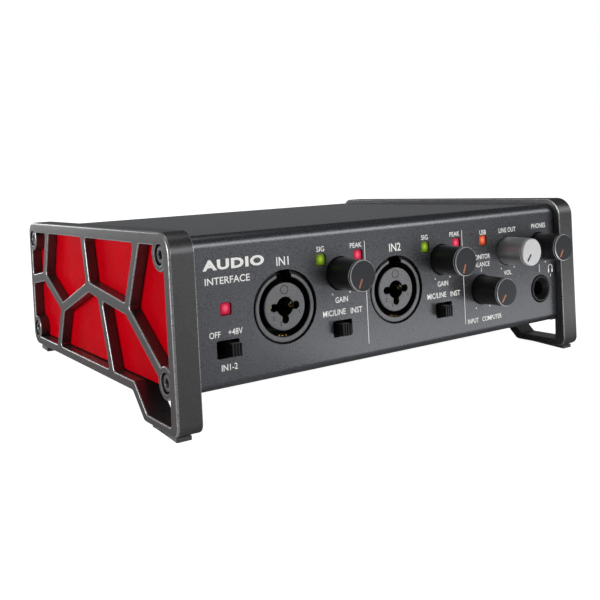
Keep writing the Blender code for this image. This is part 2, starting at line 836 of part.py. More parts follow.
def cap_mesh():
    """The metal cap on a knob's end."""
    tip = KNOB_TIP_Y - FACE_Y
    profile = [
        (0.0, tip),
        (KNOB_TIP_RADIUS - 0.35, tip),
        (KNOB_TIP_RADIUS, tip + 0.3),
        (KNOB_TIP_RADIUS, tip + CAP_THICK),
        (0.0, tip + CAP_THICK),
    ]
    bm = bmesh.new()
    add_turned(bm, profile, 24)
    return mesh_from("knob_cap", bm)


def pointer_groove():
    """The groove in a cap that takes the pointer's paint."""
    tip = KNOB_TIP_Y - FACE_Y
    direction = Vector((math.cos(POINTER_ANGLE), math.sin(POINTER_ANGLE)))
    across = Vector((-direction.y, direction.x)) * 0.35
    start = direction * 1.2
    end = direction * 4.3
    outline = [start - across, end - across, end + across, start + across]
    bm = bmesh.new()
    add_prism(bm, outline, tip - 1.0, tip + 0.25, front_plane)
    return bm


def make_knobs():
    """Five rotary controls: knob, cap, and the potentiometer that each one turns."""
    for name, x, z in KNOBS:
        silver = name == "line_out"
        where = (x, FACE_Y, z)
        add_object(f"knob_{name}", knob_mesh(), "knob_silver" if silver else "knob_black", where)
        cap = add_object(f"cap_{name}", cap_mesh(), "cap_silver" if silver else "cap_graphite", where)
        cut(cap, pointer_groove())
        make_potentiometer(name, x, z)


def make_potentiometer(name, x, z):
    """A small potentiometer: square body, and a bushing bored for the knob's shaft."""
    bm = bmesh.new()
    back = CONTROL_BOARD_Y - GAP
    add_box(bm, (-4.9, POT_Y, -5.4), (4.9, back, 5.4))
    pot = add_object(f"potentiometer_{name}", mesh_from("potentiometer", bm), "tin", (x, 0.0, z))
    bushing = bmesh.new()
    bore = SHAFT_RADIUS + 0.3
    profile = [
        (bore, BUSHING_Y),
        (bore, POT_Y + 0.2),
        (BUSHING_RADIUS, POT_Y + 0.2),
        (BUSHING_RADIUS, BUSHING_Y),
    ]
    add_turned(bushing, profile, 12)
    cut(pot, bushing, "UNION")


# ==== slide switches ==============================================================================


def lever_outline():
    """The lever from above: a block whose front end has three finger grooves."""
    half = LEVER_WIDTH / 2
    tip = LEVER_TIP_Y - FACE_Y
    back = LEVER_BACK_Y - FACE_Y
    ridges = 4
    ridge = LEVER_WIDTH / (2 * ridges - 1)
    points = [Vector((half, back)), Vector((-half, back))]
    for k in range(ridges):
        left = -half + 2 * k * ridge
        points.append(Vector((left, tip)))
        points.append(Vector((left + ridge, tip)))
        if k < ridges - 1:
            points.append(Vector((left + ridge, tip + 0.5)))
            points.append(Vector((left + 2 * ridge, tip + 0.5)))
    return points


def make_switches():
    """Three slide switches: a body with a pocket, and the lever that slides in it."""
    width, height = SWITCH_BODY
    for name, x, side in SWITCHES:
        bm = bmesh.new()
        low = (-width / 2, SWITCH_BODY_Y, -height / 2)
        high = (width / 2, CONTROL_BOARD_Y - GAP, height / 2)
        add_box(bm, low, high)
        mesh = mesh_from("switch_body", bm)
        body = add_object(f"switch_body_{name}", mesh, "black_plastic", (x, 0.0, SWITCH_Z))
        pocket = bmesh.new()
        reach = (LEVER_WIDTH + LEVER_TRAVEL) / 2 + 0.4
        rise = LEVER_HEIGHT / 2 + 0.4
        add_box(pocket, (-reach, SWITCH_BODY_Y - 2.0, -rise), (reach, LEVER_BACK_Y + 0.4, rise))
        cut(body, pocket)

        bm = bmesh.new()
        half = LEVER_HEIGHT / 2
        add_prism(bm, lever_outline(), -half, half, level_plane)
        where = (x + side * LEVER_TRAVEL / 2, FACE_Y, SWITCH_Z)
        add_object(f"switch_lever_{name}", mesh_from("switch_lever", bm), "knob_black", where)


# ==== lights, jacks and sockets ===================================================================


def make_lights():
    """Light pipes from the control board to the face, each ending in a small lens."""
    tip = FACE_Y - LIGHT_PROUD
    back = CONTROL_BOARD_Y - GAP
    for name, x, z, colour in LIGHTS:
        outline = rectangle(0.0, 0.0, LIGHT_SIZE, LIGHT_SIZE, LIGHT_CORNER)
        bm = bmesh.new()
        add_slab(bm, [(outline, [(tip, 0.3), (tip + 0.3, 0.0), (back, 0.0)])], front_plane)
        add_object(f"light_{name}", mesh_from("light", bm), f"light_{colour}", (x, 0.0, z))


def make_phones_jack():
    """The headphone jack: a body with a flared bushing that shows in the face."""
    bm = bmesh.new()
    front = FACE_INSIDE + 1.0
    add_box(bm, (-5.8, front, -5.0), (3.8, front + 26.0, 6.2))
    where = (PHONES_X, 0.0, PHONES_Z)
    jack = add_object("phones_jack", mesh_from("phones_jack", bm), "black_plastic", where)
    bushing = bmesh.new()
    lip = FACE_Y - 0.4
    profile = [(0.0, lip), (PHONES_RING - 0.3, lip), (PHONES_RING, lip + 0.3)]
    profile += [(PHONES_RING, front + 3.0), (0.0, front + 3.0)]
    add_turned(bushing, profile, 24)
    cut(jack, bushing, "UNION")
    bore = bmesh.new()
    profile = [(0.0, lip - 1.0), (JACK_BORE + 2.6, lip - 1.0), (JACK_BORE, lip + 1.6)]
    profile += [(JACK_BORE, front + 22.0), (0.0, front + 22.0)]
    add_turned(bore, profile, 24)
    cut(jack, bore)


def make_line_outs():
    """Two balanced output jacks at the back."""
    front = REAR_INSIDE - 25.0
    back = REAR_INSIDE - 0.8
    for number, x in enumerate(LINE_OUT_X, start=1):
        bm = bmesh.new()
        add_box(bm, (-7.5, front, -9.5), (7.5, back, 7.0))
        where = (x, 0.0, LINE_OUT_Z)
        jack = add_object(f"line_out_jack_{number}", mesh_from("line_out_jack", bm), "black_plastic", where)
        tube = bmesh.new()
        end = CASE_BACK + 1.8
        profile = [(0.0, back - 2.0), (LINE_OUT_RING, back - 2.0), (LINE_OUT_RING, end), (0.0, end)]
        add_turned(tube, profile, 24)
        cut(jack, tube, "UNION")
        bore = bmesh.new()
        profile = [(0.0, front + 2.0), (JACK_BORE, front + 2.0), (JACK_BORE, end + 1.0), (0.0, end + 1.0)]
        add_turned(bore, profile, 20)
        cut(jack, bore)


def make_midi_sockets():
    """Two five-pin round sockets at the back."""
    back = REAR_INSIDE - 0.8
    for number, x in enumerate(MIDI_X, start=1):
        bm = bmesh.new()
        add_box(bm, (-10.0, back - 14.0, -11.5), (10.0, back, 9.5))
        where = (x, 0.0, MIDI_Z)
        socket = add_object(f"midi_socket_{number}", mesh_from("midi_socket", bm), "black_plastic", where)
        barrel = bmesh.new()
        end = CASE_BACK + 0.8
        profile = [(0.0, back - 2.0), (MIDI_BARREL, back - 2.0), (MIDI_BARREL, end), (0.0, end)]
        add_turned(barrel, profile, 28)
        cut(socket, barrel, "UNION")
        recess = bmesh.new()
        profile = [
            (0.0, end - 1.6),
            (MIDI_CORE, end - 1.6),
            (MIDI_CORE, end - 9.0),
            (MIDI_RECESS, end - 9.0),
            (MIDI_RECESS, end + 1.0),
            (0.0, end + 1.0),
        ]
        add_turned(recess, profile, 24)
        cut(socket, recess)
        pins = bmesh.new()
        for degrees in (0.0, 45.0, 90.0, 135.0, 180.0):
            angle = math.radians(degrees)
            hole = circle(3.75 * math.cos(angle), 3.75 * math.sin(angle), 0.75, 8)
            add_prism(pins, hole, end - 9.0, end, front_plane)
        cut(socket, pins)


def make_plug_socket(name, x, width, height, corner):
    """A small metal-shelled socket with a contact tongue: data or power."""
    wall = 0.3
    end = CASE_BACK + 0.2
    depth = 7.0
    bm = bmesh.new()
    add_prism(bm, rectangle(0.0, 0.0, width, height, corner), end - depth, end, front_plane)
    where = (x, 0.0, PLUG_SOCKET_Z)
    socket = add_object(name, mesh_from(name, bm), "tin", where)
    pocket = bmesh.new()
    mouth = rectangle(0.0, 0.0, width - 2 * wall, height - 2 * wall, corner - wall)
    tongue = rectangle(0.0, 0.0, width - 2.4, 0.7, 0.0)
    levels = [(end - depth + 1.0, 0.0), (end + 1.0, 0.0)]
    add_slab(pocket, [(mouth, levels), (tongue, levels)], front_plane)
    cut(socket, pocket)


# ==== assembly ====================================================================================


def make_stand():
    """The empty that carries the case's frame and leans it back."""
    stand = bpy.data.objects.new("stand", None)
    bpy.context.scene.collection.objects.link(stand)
    stand.rotation_euler = (-LEAN, 0.0, 0.0)
    return stand


def stand_on_floor():
    """Moves the assembly so that its feet stand at z = 0 and its box is centred."""
    bpy.context.view_layer.update()
    parts = [o for o in bpy.data.objects if o.type == "MESH" and not o.hide_render]
    points = [o.matrix_world @ v.co for o in parts for v in o.data.vertices]
    middle_y = (min(p.y for p in points) + max(p.y for p in points)) / 2
    STAND.location = (0.0, -middle_y, -min(p.z for p in points))


for leftover in list(bpy.data.objects):
    bpy.data.objects.remove(leftover)

MATERIALS = make_materials()
STAND = make_stand()

make_case_shell()
make_bottom_plate()
make_rear_panel()
for side_name, side_sign in (("left", -1), ("right", 1)):
    make_side_frame(side_name, side_sign)
    make_side_plate(side_name, side_sign)
    make_side_screws(side_name, side_sign)
make_feet()
make_boards()
for combo_name, combo_x in COMBO_X.items():
    make_combo(combo_name, combo_x)
make_knobs()
make_switches()
make_lights()
make_phones_jack()
make_line_outs()
make_midi_sockets()
make_plug_socket("usb_socket", USB_X, 9.0, 3.3, 1.5)
make_plug_socket("power_socket", DC_X, 7.6, 2.9, 0.9)
stand_on_floor()
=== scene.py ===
"""Looks for the desktop audio interface: fine meshes, materials, light and camera.

Everything is drawn in the case's own frame, in millimetres: x to the right, y backwards
from the front edge of the side frames, z up from their top edge. That frame leans back on
the feet, and STAND turns it into the row's frame.
"""

import json
import math

import bmesh
import bpy
from mathutils import Matrix, Vector


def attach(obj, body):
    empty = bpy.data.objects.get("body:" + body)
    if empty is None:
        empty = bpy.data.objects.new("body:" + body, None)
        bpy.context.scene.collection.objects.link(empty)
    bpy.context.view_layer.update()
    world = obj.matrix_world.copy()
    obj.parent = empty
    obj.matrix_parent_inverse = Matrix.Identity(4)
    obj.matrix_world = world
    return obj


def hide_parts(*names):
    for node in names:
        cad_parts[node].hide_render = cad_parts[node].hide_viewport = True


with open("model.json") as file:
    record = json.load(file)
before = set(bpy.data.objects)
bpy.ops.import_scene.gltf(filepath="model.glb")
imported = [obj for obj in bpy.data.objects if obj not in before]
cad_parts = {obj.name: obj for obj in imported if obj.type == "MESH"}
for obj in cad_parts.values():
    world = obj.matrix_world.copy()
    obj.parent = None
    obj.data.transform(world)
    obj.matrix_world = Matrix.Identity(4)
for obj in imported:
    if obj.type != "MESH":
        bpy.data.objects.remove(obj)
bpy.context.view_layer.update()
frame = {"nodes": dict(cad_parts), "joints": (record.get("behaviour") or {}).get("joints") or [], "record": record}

# ==== the case's frame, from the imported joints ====

MM = 0.001
WELD = 0.0005
CUT_WELD = 0.002
NO_STRETCH = (1.0, 1.0, 1.0)
GAP = 0.3
FACE_Y = 3.0
JOINTS = {joint["name"]: joint for joint in frame["joints"]}
KNOBS = {"gain_1": 245.0, "gain_2": 249.0, "line_out": 231.0, "phones": 237.0, "balance": 232.0}
SWITCHES = ("phantom", "input_1", "input_2")
LIGHTS = {
    "phantom": "red",
    "signal_1": "green",
    "peak_1": "red",
    "signal_2": "green",
    "peak_2": "red",
    "usb": "orange",
}
CHASSIS = "chassis"


def stand_matrix():
    """The case's frame as a matrix into the row's frame, both in metres. A knob's axis is
    the case's y, and its pivot lies in the panel's face."""
    axis = Vector(JOINTS["gain_1_turn"]["axis"])
    turn = Matrix.Rotation(math.atan2(axis.z, axis.y), 4, "X")
    back = turn.inverted()
    pivot_y = (back @ Vector(JOINTS["gain_1_turn"]["pos_m"])).y
    top = max((back @ v.co).z for v in frame["nodes"]["side_frame_left"].data.vertices)
    return turn @ Matrix.Translation((0.0, pivot_y - FACE_Y * MM, top))


STAND = stand_matrix()
INTO_CASE = (STAND @ Matrix.Scale(MM, 4)).inverted()


def corners_of(node):
    """A CAD node's vertices in the case's frame, in millimetres."""
    return [INTO_CASE @ v.co for v in frame["nodes"][node].data.vertices]


def case_box(node):
    """A CAD node's lowest and highest corner in the case's frame, in millimetres."""
    points = corners_of(node)
    low = Vector(round(min(p[i] for p in points), 2) for i in range(3))
    high = Vector(round(max(p[i] for p in points), 2) for i in range(3))
    return low, high


def middle(node):
    """The centre of a CAD node, in the case's frame."""
    low, high = case_box(node)
    return (low + high) / 2


def pivot(knob):
    """The point where a knob's axis meets the panel's face."""
    point = INTO_CASE @ Vector(JOINTS[f"{knob}_turn"]["pos_m"])
    return Vector((round(point.x, 2), FACE_Y, round(point.z, 2)))


# ==== sizes ====

FRAME_LOW, FRAME_HIGH = case_box("side_frame_left")
FRAME_INNER = -FRAME_HIGH.x
FRAME_THICK = FRAME_HIGH.x - FRAME_LOW.x
DEPTH = FRAME_HIGH.y
LEG_BOTTOM = FRAME_LOW.z
FRAME_BOTTOM = case_box("foot_rear_left")[1].z + GAP
PLATE_LOW, PLATE_HIGH = case_box("side_plate_left")
POCKET_FLOOR = FRAME_THICK - (PLATE_LOW.x - FRAME_LOW.x)
LEG_DEPTH = 25.9
LEG_TOP_DEPTH = 34.8
BORDER = 4.2
RIB = 4.0
OUTER_FILLET = 0.8
INNER_FILLET = 0.4
CELL_FILLET = 0.45
CELL_CORNER = 1.4
BOSS_RADIUS = 5.3
SCREW_SEATS = [middle(f"screw_left_{n}") for n in (1, 2, 3, 4)]
SCREW_HEAD_RADIUS = 2.75
SCREW_RECESS_RADIUS = 3.4
SCREW_RECESS_DEPTH = 2.4
SCREW_SINK = 0.5
SHANK_HOLE_RADIUS = 1.6
REBATE_ROOM = 0.4
LEAST_LEAN = 0.15
MOST_LEAN = 0.97
FOOT_FILLET = 0.35

SHELL_LOW, SHELL_HIGH = case_box("case_shell")
WALL = 1.6
TOP_BEND = 4.0
BOTTOM_BEND = 3.0
LIP_END = 14.0

COMBOS = {name: middle(f"combo_insert_{name}") for name in ("in_1", "in_2")}
COMBO_HOLE = 12.35
COMBO_RING = 12.0
COMBO_GROOVE = 10.0
COMBO_INSERT = 7.95
COMBO_CENTRE_HOLE = 3.25
COMBO_PIN_HOLE = 1.35
COMBO_PIN_CIRCLE = 4.3
COMBO_PINS = (0.0, math.pi, 1.5 * math.pi)
COMBO_SKINS = ("jack_face", "black_plastic")
COMBO_FLOOR = 15.0
COMBO_BACK = 32.0
COMBO_MOUTH = 2.2
KEYWAY = 5.8
KEY_END = 10.0
BAND_RADIUS = 11.4
BAND_DROP = 0.35
BAND_RISE = 0.9

KNOB_HOLE = 5.95
KNOB_TIP = 5.35
POINTER_HALF = 0.4
KNOB_BASE = 5.65
KNOB_BACK = 5.6
SHAFT_RADIUS = 1.9
CAP_LOW, CAP_HIGH = case_box("cap_gain_1")
KNOB_LOW, KNOB_HIGH = case_box("knob_gain_1")

SLOT_WIDTH = 8.2
SLOT_HEIGHT = 5.7
LIGHT_SIZE = 3.9
LIGHT_HEIGHT = 3.9
LIGHT_DROP = 0.2
LIGHT_CORNER = 0.8
LENS_SINK = 0.35

JACK_BORE = 3.25
PHONES_LOW = case_box("phones_jack")[0]
PHONES = Vector((PHONES_LOW.x + 5.8, 0.0, PHONES_LOW.z + 5.0))
PHONES_HOLE = 5.8
PHONES_RING = 5.4
MOUTH_FACETS = 10

REAR_LOW, REAR_HIGH = case_box("rear_panel")
LINE_OUTS = [Vector((middle(f"line_out_jack_{n}").x, 0.0, -34.0)) for n in (1, 2)]
MIDI = [Vector((middle(f"midi_socket_{n}").x, 0.0, -31.5)) for n in (1, 2)]
SOCKET_BACK = REAR_LOW.y - 0.8
LINE_OUT_RING = 4.4
MIDI_BARREL = 7.8
MIDI_PIN_CIRCLE = 3.75
MIDI_PIN_HOLE = 0.75
USB = middle("usb_socket")
POWER = middle("power_socket")
LOCK_SLOT = (72.0, -38.0, 7.0, 3.0)

# The height of capitals as a share of the type size, how far printing stands out, and the
# middle of the headphones sign.
CAPITAL_SHARE = 0.73
PRINT_RISE = 0.015
SIGN_X = 81.0
SIGN_Z = -29.2

# The words on the panel: the text, its centre's x and z, the capitals' height, the squeeze.
PANEL_WORDS = (
    ("INTERFACE", -72.0, -16.7, 2.3, 1.02),
    ("IN1", -51.0, -12.9, 3.0, 0.92),
    ("IN2", -3.1, -12.7, 3.0, 0.92),
    ("OFF", -77.4, -33.5, 2.0, 0.84),
    ("+48V", -70.1, -33.3, 2.05, 0.86),
    ("IN1-2", -72.8, -44.2, 2.1, 0.88),
    ("USB", 42.0, -10.9, 1.85, 0.84),
    ("LINE OUT", 55.9, -11.0, 1.95, 0.84),
    ("PHONES", 74.6, -10.7, 2.0, 0.84),
    ("VOL", 55.2, -28.1, 1.95, 0.84),
    ("MONITOR", 40.4, -20.4, 1.9, 0.84),
    ("BALANCE", 40.4, -23.4, 1.9, 0.84),
    ("INPUT", 34.7, -44.8, 1.85, 0.82),
    ("COMPUTER", 45.1, -44.8, 1.85, 0.82),
)

# Junctions of the web's ribs, as (y, z) on their centre lines. The outer ones lie on the
# inner edge of the border.
WEB_BACK = DEPTH - 3.5
WEB_BOTTOM = FRAME_BOTTOM + 3.5
WEB = {
    "front_top": (BORDER, -BORDER),
    "top_1": (25.2, -BORDER),
    "top_2": (77.5, -BORDER),
    "top_3": (123.3, -BORDER),
    "back_top": (WEB_BACK, -BORDER),
    "back": (WEB_BACK, -25.3),
    "back_bottom": (WEB_BACK, WEB_BOTTOM),
    "bottom_2": (114.0, WEB_BOTTOM),
    "bottom_1": (53.4, WEB_BOTTOM),
    "step": (33.0, WEB_BOTTOM),
    "leg_back": (23.2, LEG_BOTTOM + 2.7),
    "leg_front": (BORDER + 0.4, LEG_BOTTOM + 2.7),
    "boss": (BORDER, -48.4),
    "inner_1": (36.5, -26.9),
    "inner_2": (62.7, -24.0),
    "inner_3": (73.9, -22.5),
    "inner_4": (106.2, -33.7),
    "inner_5": (129.6, -22.8),
}
CELLS = (
    ("back_top", "top_3", "inner_5", "back"),
    ("top_3", "top_2", "inner_3", "inner_4", "inner_5"),
    ("top_2", "top_1", "inner_1", "inner_3"),
    ("top_1", "front_top", "boss", "inner_1"),
    ("back", "inner_5", "inner_4", "bottom_2", "back_bottom"),
    ("inner_4", "inner_3", "inner_2", "bottom_1", "bottom_2"),
    ("inner_2", "inner_1", "boss", "leg_front", "leg_back", "step", "bottom_1"),
)


# ==== outlines ====


def side_plane(sign):
    """Maps a drawing in (y, z) and a depth from the frame's inner face to 3-D."""
    return lambda a, b, depth: Vector((sign * (FRAME_INNER + depth), a, b))


def front_plane(a, b, depth):
    """The same for a drawing in (x, z) and a distance along y."""
    return Vector((a, depth, b))


def profile_plane(a, b, depth):
    """The same for a drawing in (y, z) and a distance along x."""
    return Vector((depth, a, b))


def level_plane(a, b, depth):
    """The same for a drawing in (x, y) and a distance along z."""
    return Vector((a, b, depth))


def corner_points(*pairs):
    """An outline's corners from pairs of numbers."""
    return [Vector(pair) for pair in pairs]


def anticlockwise(points):
    """The same outline, running anticlockwise."""
    pairs = zip(points, points[1:] + points[:1])
    area = sum(a.x * b.y - b.x * a.y for a, b in pairs)
    return points if area > 0 else points[::-1]


def rounded(corners, radii, step=8.0):
    """An outline with its corners rounded, one point for every step degrees of the arcs."""
    points = []
    for i, corner in enumerate(corners):
        before = (corners[i - 1] - corner).normalized()
        after = (corners[(i + 1) % len(corners)] - corner).normalized()
        radius = radii[i]
        if radius <= 0:
            points.append(corner)
            continue
        half = before.angle(after) / 2
        centre = corner + (before + after).normalized() * (radius / math.sin(half))
        arm = corner + before * (radius / math.tan(half)) - centre
        sweep = math.pi - 2 * half
        steps = max(1, round(sweep / math.radians(step)))
        turn = 1 if before.cross(after) < 0 else -1
        for k in range(steps + 1):
            points.append(centre + Matrix.Rotation(turn * sweep * k / steps, 2) @ arm)
    return points


def moved_in(points, distances):
    """An anticlockwise outline with each edge moved inwards by its own distance."""
    count = len(points)
    result = []
    for i in range(count):
        into = (points[i] - points[i - 1]).normalized()
        out = (points[(i + 1) % count] - points[i]).normalized()
        first = distances[i - 1]
        second = distances[i]
        turn = into.cross(out)
        if abs(turn) < 1e-6:
            result.append(points[i] + Vector((-out.y, out.x)) * second)
            continue
        # The two moved edges meet at the point that lies at both distances.
        along = (second - first * into.dot(out)) / turn
        result.append(points[i] + Vector((-into.y, into.x)) * first - into * along)
    return result


def inside_outline(point, points):
    """Whether a point lies inside a closed outline."""
    inside = False
    for a, b in zip(points, points[1:] + points[:1]):
        if (a.y > point.y) != (b.y > point.y):
            if point.x < a.x + (point.y - a.y) / (b.y - a.y) * (b.x - a.x):
                inside = not inside
    return inside


def circle_crossing(outer, inner, centre, radius):
    """The point where the line from outer to inner enters a circle."""
    low, high = 0.0, 1.0
    for _ in range(40):
        share = (low + high) / 2
        if (outer.lerp(inner, share) - centre).length > radius:
            low = share
        else:
            high = share
    return outer.lerp(inner, low)


def bitten(points, centre, radius, step=9.0):
    """An outline whose stretch inside a circle is replaced by the circle's arc."""
    inside = [(p - centre).length < radius for p in points]
    if not any(inside):
        return points
    count = len(points)
    first = next(i for i in range(count) if inside[i] and not inside[i - 1])
    order = [points[(first + k) % count] for k in range(count)]
    kept = [p for p in order if (p - centre).length >= radius]
    enter = circle_crossing(kept[-1], order[0], centre, radius)
    leave = circle_crossing(kept[0], order[count - len(kept) - 1], centre, radius)
    start = math.atan2(enter.y - centre.y, enter.x - centre.x)
    end = math.atan2(leave.y - centre.y, leave.x - centre.x)
    sweep = (end - start) % (2 * math.pi)
    if not inside_outline(centre + arm_at(start + sweep / 2, radius), points):
        sweep -= 2 * math.pi
    steps = max(3, round(abs(sweep) / math.radians(step)))
    return [centre + arm_at(start + sweep * k / steps, radius) for k in range(steps + 1)] + kept


def arm_at(angle, radius):
    """A vector of that length and angle."""
    return Vector((math.cos(angle), math.sin(angle))) * radius


def rectangle(centre_a, centre_b, width, height, corner=0.0, step=15.0):
    """A rectangle's outline, with rounded corners if a corner radius is given."""
    corners = [
        Vector((centre_a + sx * width / 2, centre_b + sy * height / 2))
        for sx, sy in ((-1, -1), (1, -1), (1, 1), (-1, 1))
    ]
    return rounded(corners, [corner] * 4, step)


def circle(centre_a, centre_b, radius, steps=64):
    """A circle's outline."""
    centre = Vector((centre_a, centre_b))
    return [centre + arm_at(2 * math.pi * k / steps, radius) for k in range(steps)]


def fillet(depth, radius, steps=4):
    """Levels of a rounded edge that ends at a depth: pairs of (depth, shrink). A negative
    radius rounds the edge at the slab's lower face, and its levels still run upwards."""
    size = abs(radius)
    turns = [math.pi / 2 * k / steps for k in range(steps + 1)]
    levels = [(size * math.sin(t), size * (1 - math.cos(t))) for t in turns]
    if radius > 0:
        return [(depth - size + rise, shrink) for rise, shrink in levels]
    return [(depth + size - rise, shrink) for rise, shrink in reversed(levels)]


# ==== meshes ====


def slab(loops, place, bm=None):
    """A plate, in a new bmesh or added to bm. loops holds (outline, levels), the outer
    outline first and then the holes. A level is (depth, shrink), where shrink draws the
    material back."""
    bm = bm or bmesh.new()
    cap_edges = {0: [], -1: []}
    for number, (outline, levels) in enumerate(loops):
        outline = anticlockwise(outline)
        direction = 1 if number == 0 else -1
        rings = []
        for depth, shrink in levels:
            shifted = moved_in(outline, [direction * shrink] * len(outline)) if shrink else outline
            rings.append([bm.verts.new(place(p.x, p.y, depth)) for p in shifted])
        for lower, upper in zip(rings, rings[1:]):
            join_rings(bm, lower, upper)
        for end, edges in cap_edges.items():
            ring = rings[end]
            edges += [bm.edges.get(pair) for pair in zip(ring, ring[1:] + ring[:1])]
    for edges in cap_edges.values():
        bmesh.ops.triangle_fill(bm, use_beauty=True, use_dissolve=False, edges=edges)
    return bm


def join_rings(bm, lower, upper):
    """Joins two rings of points with faces. Either may be a single point."""
    faces = []
    count = max(len(lower), len(upper))
    for i in range(count):
        j = (i + 1) % count
        if len(lower) == 1:
            faces.append(bm.faces.new((lower[0], upper[j], upper[i])))
        elif len(upper) == 1:
            faces.append(bm.faces.new((lower[i], lower[j], upper[0])))
        else:
            faces.append(bm.faces.new((lower[i], lower[j], upper[j], upper[i])))
    return faces


def prism(outline, start, end, place, bm=None):
    """A plain extruded outline."""
    return slab([(outline, [(start, 0.0), (end, 0.0)])], place, bm)


def box(low, high, bm=None):
    """A box between two corners."""
    centre = ((low[0] + high[0]) / 2, (low[1] + high[1]) / 2)
    outline = rectangle(*centre, high[0] - low[0], high[1] - low[1])
    return prism(outline, low[2], high[2], level_plane, bm)


def turned(profile, steps=96, centre=(0.0, 0.0), tags=None, bm=None):
    """A solid turned about a line along y. profile is a list of (radius, y), and it starts
    and ends on the axis, or closes on itself for a ring. tags gives the material's number
    for each stretch of the profile."""
    bm = bm or bmesh.new()
    rings = []
    for radius, y in profile:
        ring = circle(*centre, radius, steps) if radius else [Vector(centre)]
        rings.append([bm.verts.new(front_plane(p.x, p.y, y)) for p in ring])
    pairs = list(zip(rings, rings[1:]))
    if profile[0][0]:
        pairs.append((rings[-1], rings[0]))
    for number, (lower, upper) in enumerate(pairs):
        for face in join_rings(bm, lower, upper):
            face.material_index = tags[number] if tags else 0
    return bm


def rod(radius, start, end):
    """The profile of a plain round bar."""
    return [(0.0, start), (radius, start), (radius, end), (0.0, end)]


def eased(profile, radius, steps=3):
    """A turned profile with every inner corner rounded off, where there is room."""
    result = [profile[0]]
    for i in range(1, len(profile) - 1):
        corner = Vector(profile[i])
        before = Vector(profile[i - 1]) - corner
        after = Vector(profile[i + 1]) - corner
        reach = min(radius, before.length / 2, after.length / 2)
        for k in range(steps + 1):
            share = k / steps
            a = corner + before.normalized() * reach * (1 - share)
            b = corner + after.normalized() * reach * share
            result.append(tuple(a.lerp(b, share)))
    result.append(profile[-1])
    return result


def mesh_of(name, bm):
    """A mesh with bm's shape. bm is freed."""
    mesh = bpy.data.meshes.new(name)
    bm.to_mesh(mesh)
    bm.free()
    return mesh


def new_object(name, data):
    """An object in the scene."""
    made = bpy.data.objects.new(name, data)
    bpy.context.scene.collection.objects.link(made)
    return made


def combined(base, tool, operation="DIFFERENCE"):
    """base with tool cut out of it, or joined to it, as a new bmesh."""
    holders = []
    for bm in (base, tool):
        bmesh.ops.recalc_face_normals(bm, faces=bm.faces)
        holders.append(new_object("scratch", mesh_of("scratch", bm)))
    modifier = holders[0].modifiers.new("boolean", "BOOLEAN")
    modifier.operation = operation
    modifier.solver = "EXACT"
    modifier.object = holders[1]
    bpy.context.view_layer.update()
    result = bmesh.new()
    result.from_object(holders[0], bpy.context.evaluated_depsgraph_get())
    for holder in holders:
        mesh = holder.data
        bpy.data.objects.remove(holder)
        bpy.data.meshes.remove(mesh)
    bmesh.ops.remove_doubles(result, verts=result.verts, dist=CUT_WELD)
    bmesh.ops.holes_fill(result, edges=[edge for edge in result.edges if edge.is_boundary])
    return result


def tag_from(bm, y):
    """Gives everything that lies further back than y the piece's second finish."""
    for face in bm.faces:
        face.material_index = 0 if face.calc_center_median().y < y else 1


def make_piece(
    name, bm, skins, node=None, body=CHASSIS, origin=None, sharp=34.0, bevel=0.0, bevel_skin=0
):
    """Turns bm, drawn in millimetres about origin in the case's frame, into a piece that
    rides on a body, and stands for a CAD node if one is named. skins names its finishes.
    With no origin, the mesh goes into the row's frame, so that the piece's box is upright.
    bevel rounds its sharp edges."""
    bmesh.ops.recalc_face_normals(bm, faces=bm.faces)
    bmesh.ops.scale(bm, vec=(MM, MM, MM), verts=bm.verts)
    mesh = mesh_of(name, bm)
    for skin in skins:
        mesh.materials.append(MATERIALS[skin])
    mesh.shade_smooth()
    mesh.set_sharp_from_angle(angle=math.radians(sharp))
    piece = new_object(name, mesh)
    if origin:
        piece.matrix_world = STAND @ Matrix.Translation(Vector(origin) * MM)
    else:
        mesh.transform(STAND)
    if bevel:
        rounding = piece.modifiers.new("edges", "BEVEL")
        rounding.width = bevel * MM
        rounding.segments = 2
        rounding.limit_method = "ANGLE"
        rounding.angle_limit = math.radians(40.0)
        rounding.material = bevel_skin
    normals = piece.modifiers.new("normals", "WEIGHTED_NORMAL")
    normals.keep_sharp = not bevel
    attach(piece, body)
    if node:
        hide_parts(node)
    return piece


# ==== materials ====


def socket_name(words):
    """A socket's name from its words, which are joined by underscores."""
    return words.replace("_", " ").title().replace("Ior", "IOR")


def new_material(name, roughness, metallic=0.0, **sockets):
    """A Principled material. sockets names more of the shader's inputs by their words."""
    material = bpy.data.materials.new(name)
    material.use_nodes = True
    shader = material.node_tree.nodes["Principled BSDF"]
    shader.inputs["Roughness"].default_value = roughness
    shader.inputs["Metallic"].default_value = metallic
    for words, value in sockets.items():
        shader.inputs[socket_name(words)].default_value = value
    return material


def feed(material, socket, value):
    """Sets a socket, or links another socket into it."""
    if isinstance(value, bpy.types.NodeSocket):
        material.node_tree.links.new(value, socket)
    else:
        socket.default_value = value


def add_node(material, kind, **inputs):
    """Adds a node, and sets or links its inputs by their words."""
    made = material.node_tree.nodes.new(f"ShaderNode{kind}")
    for words, value in inputs.items():
        feed(material, made.inputs[socket_name(words)], value)
    return made


def place_on(material, stretch=NO_STRETCH):
    """The object's own coordinates, in millimetres, stretched along each axis."""
    coordinates = add_node(material, "TexCoord").outputs["Object"]
    scale = [1.0 / (MM * s) for s in stretch]
    return add_node(material, "Mapping", vector=coordinates, scale=scale).outputs["Vector"]


def grain(material, size, detail=2.0, stretch=NO_STRETCH):
    """Soft noise whose spots are about size millimetres wide."""
    where = place_on(material, stretch)
    return add_node(material, "TexNoise", vector=where, scale=1.0 / size, detail=detail).outputs["Fac"]


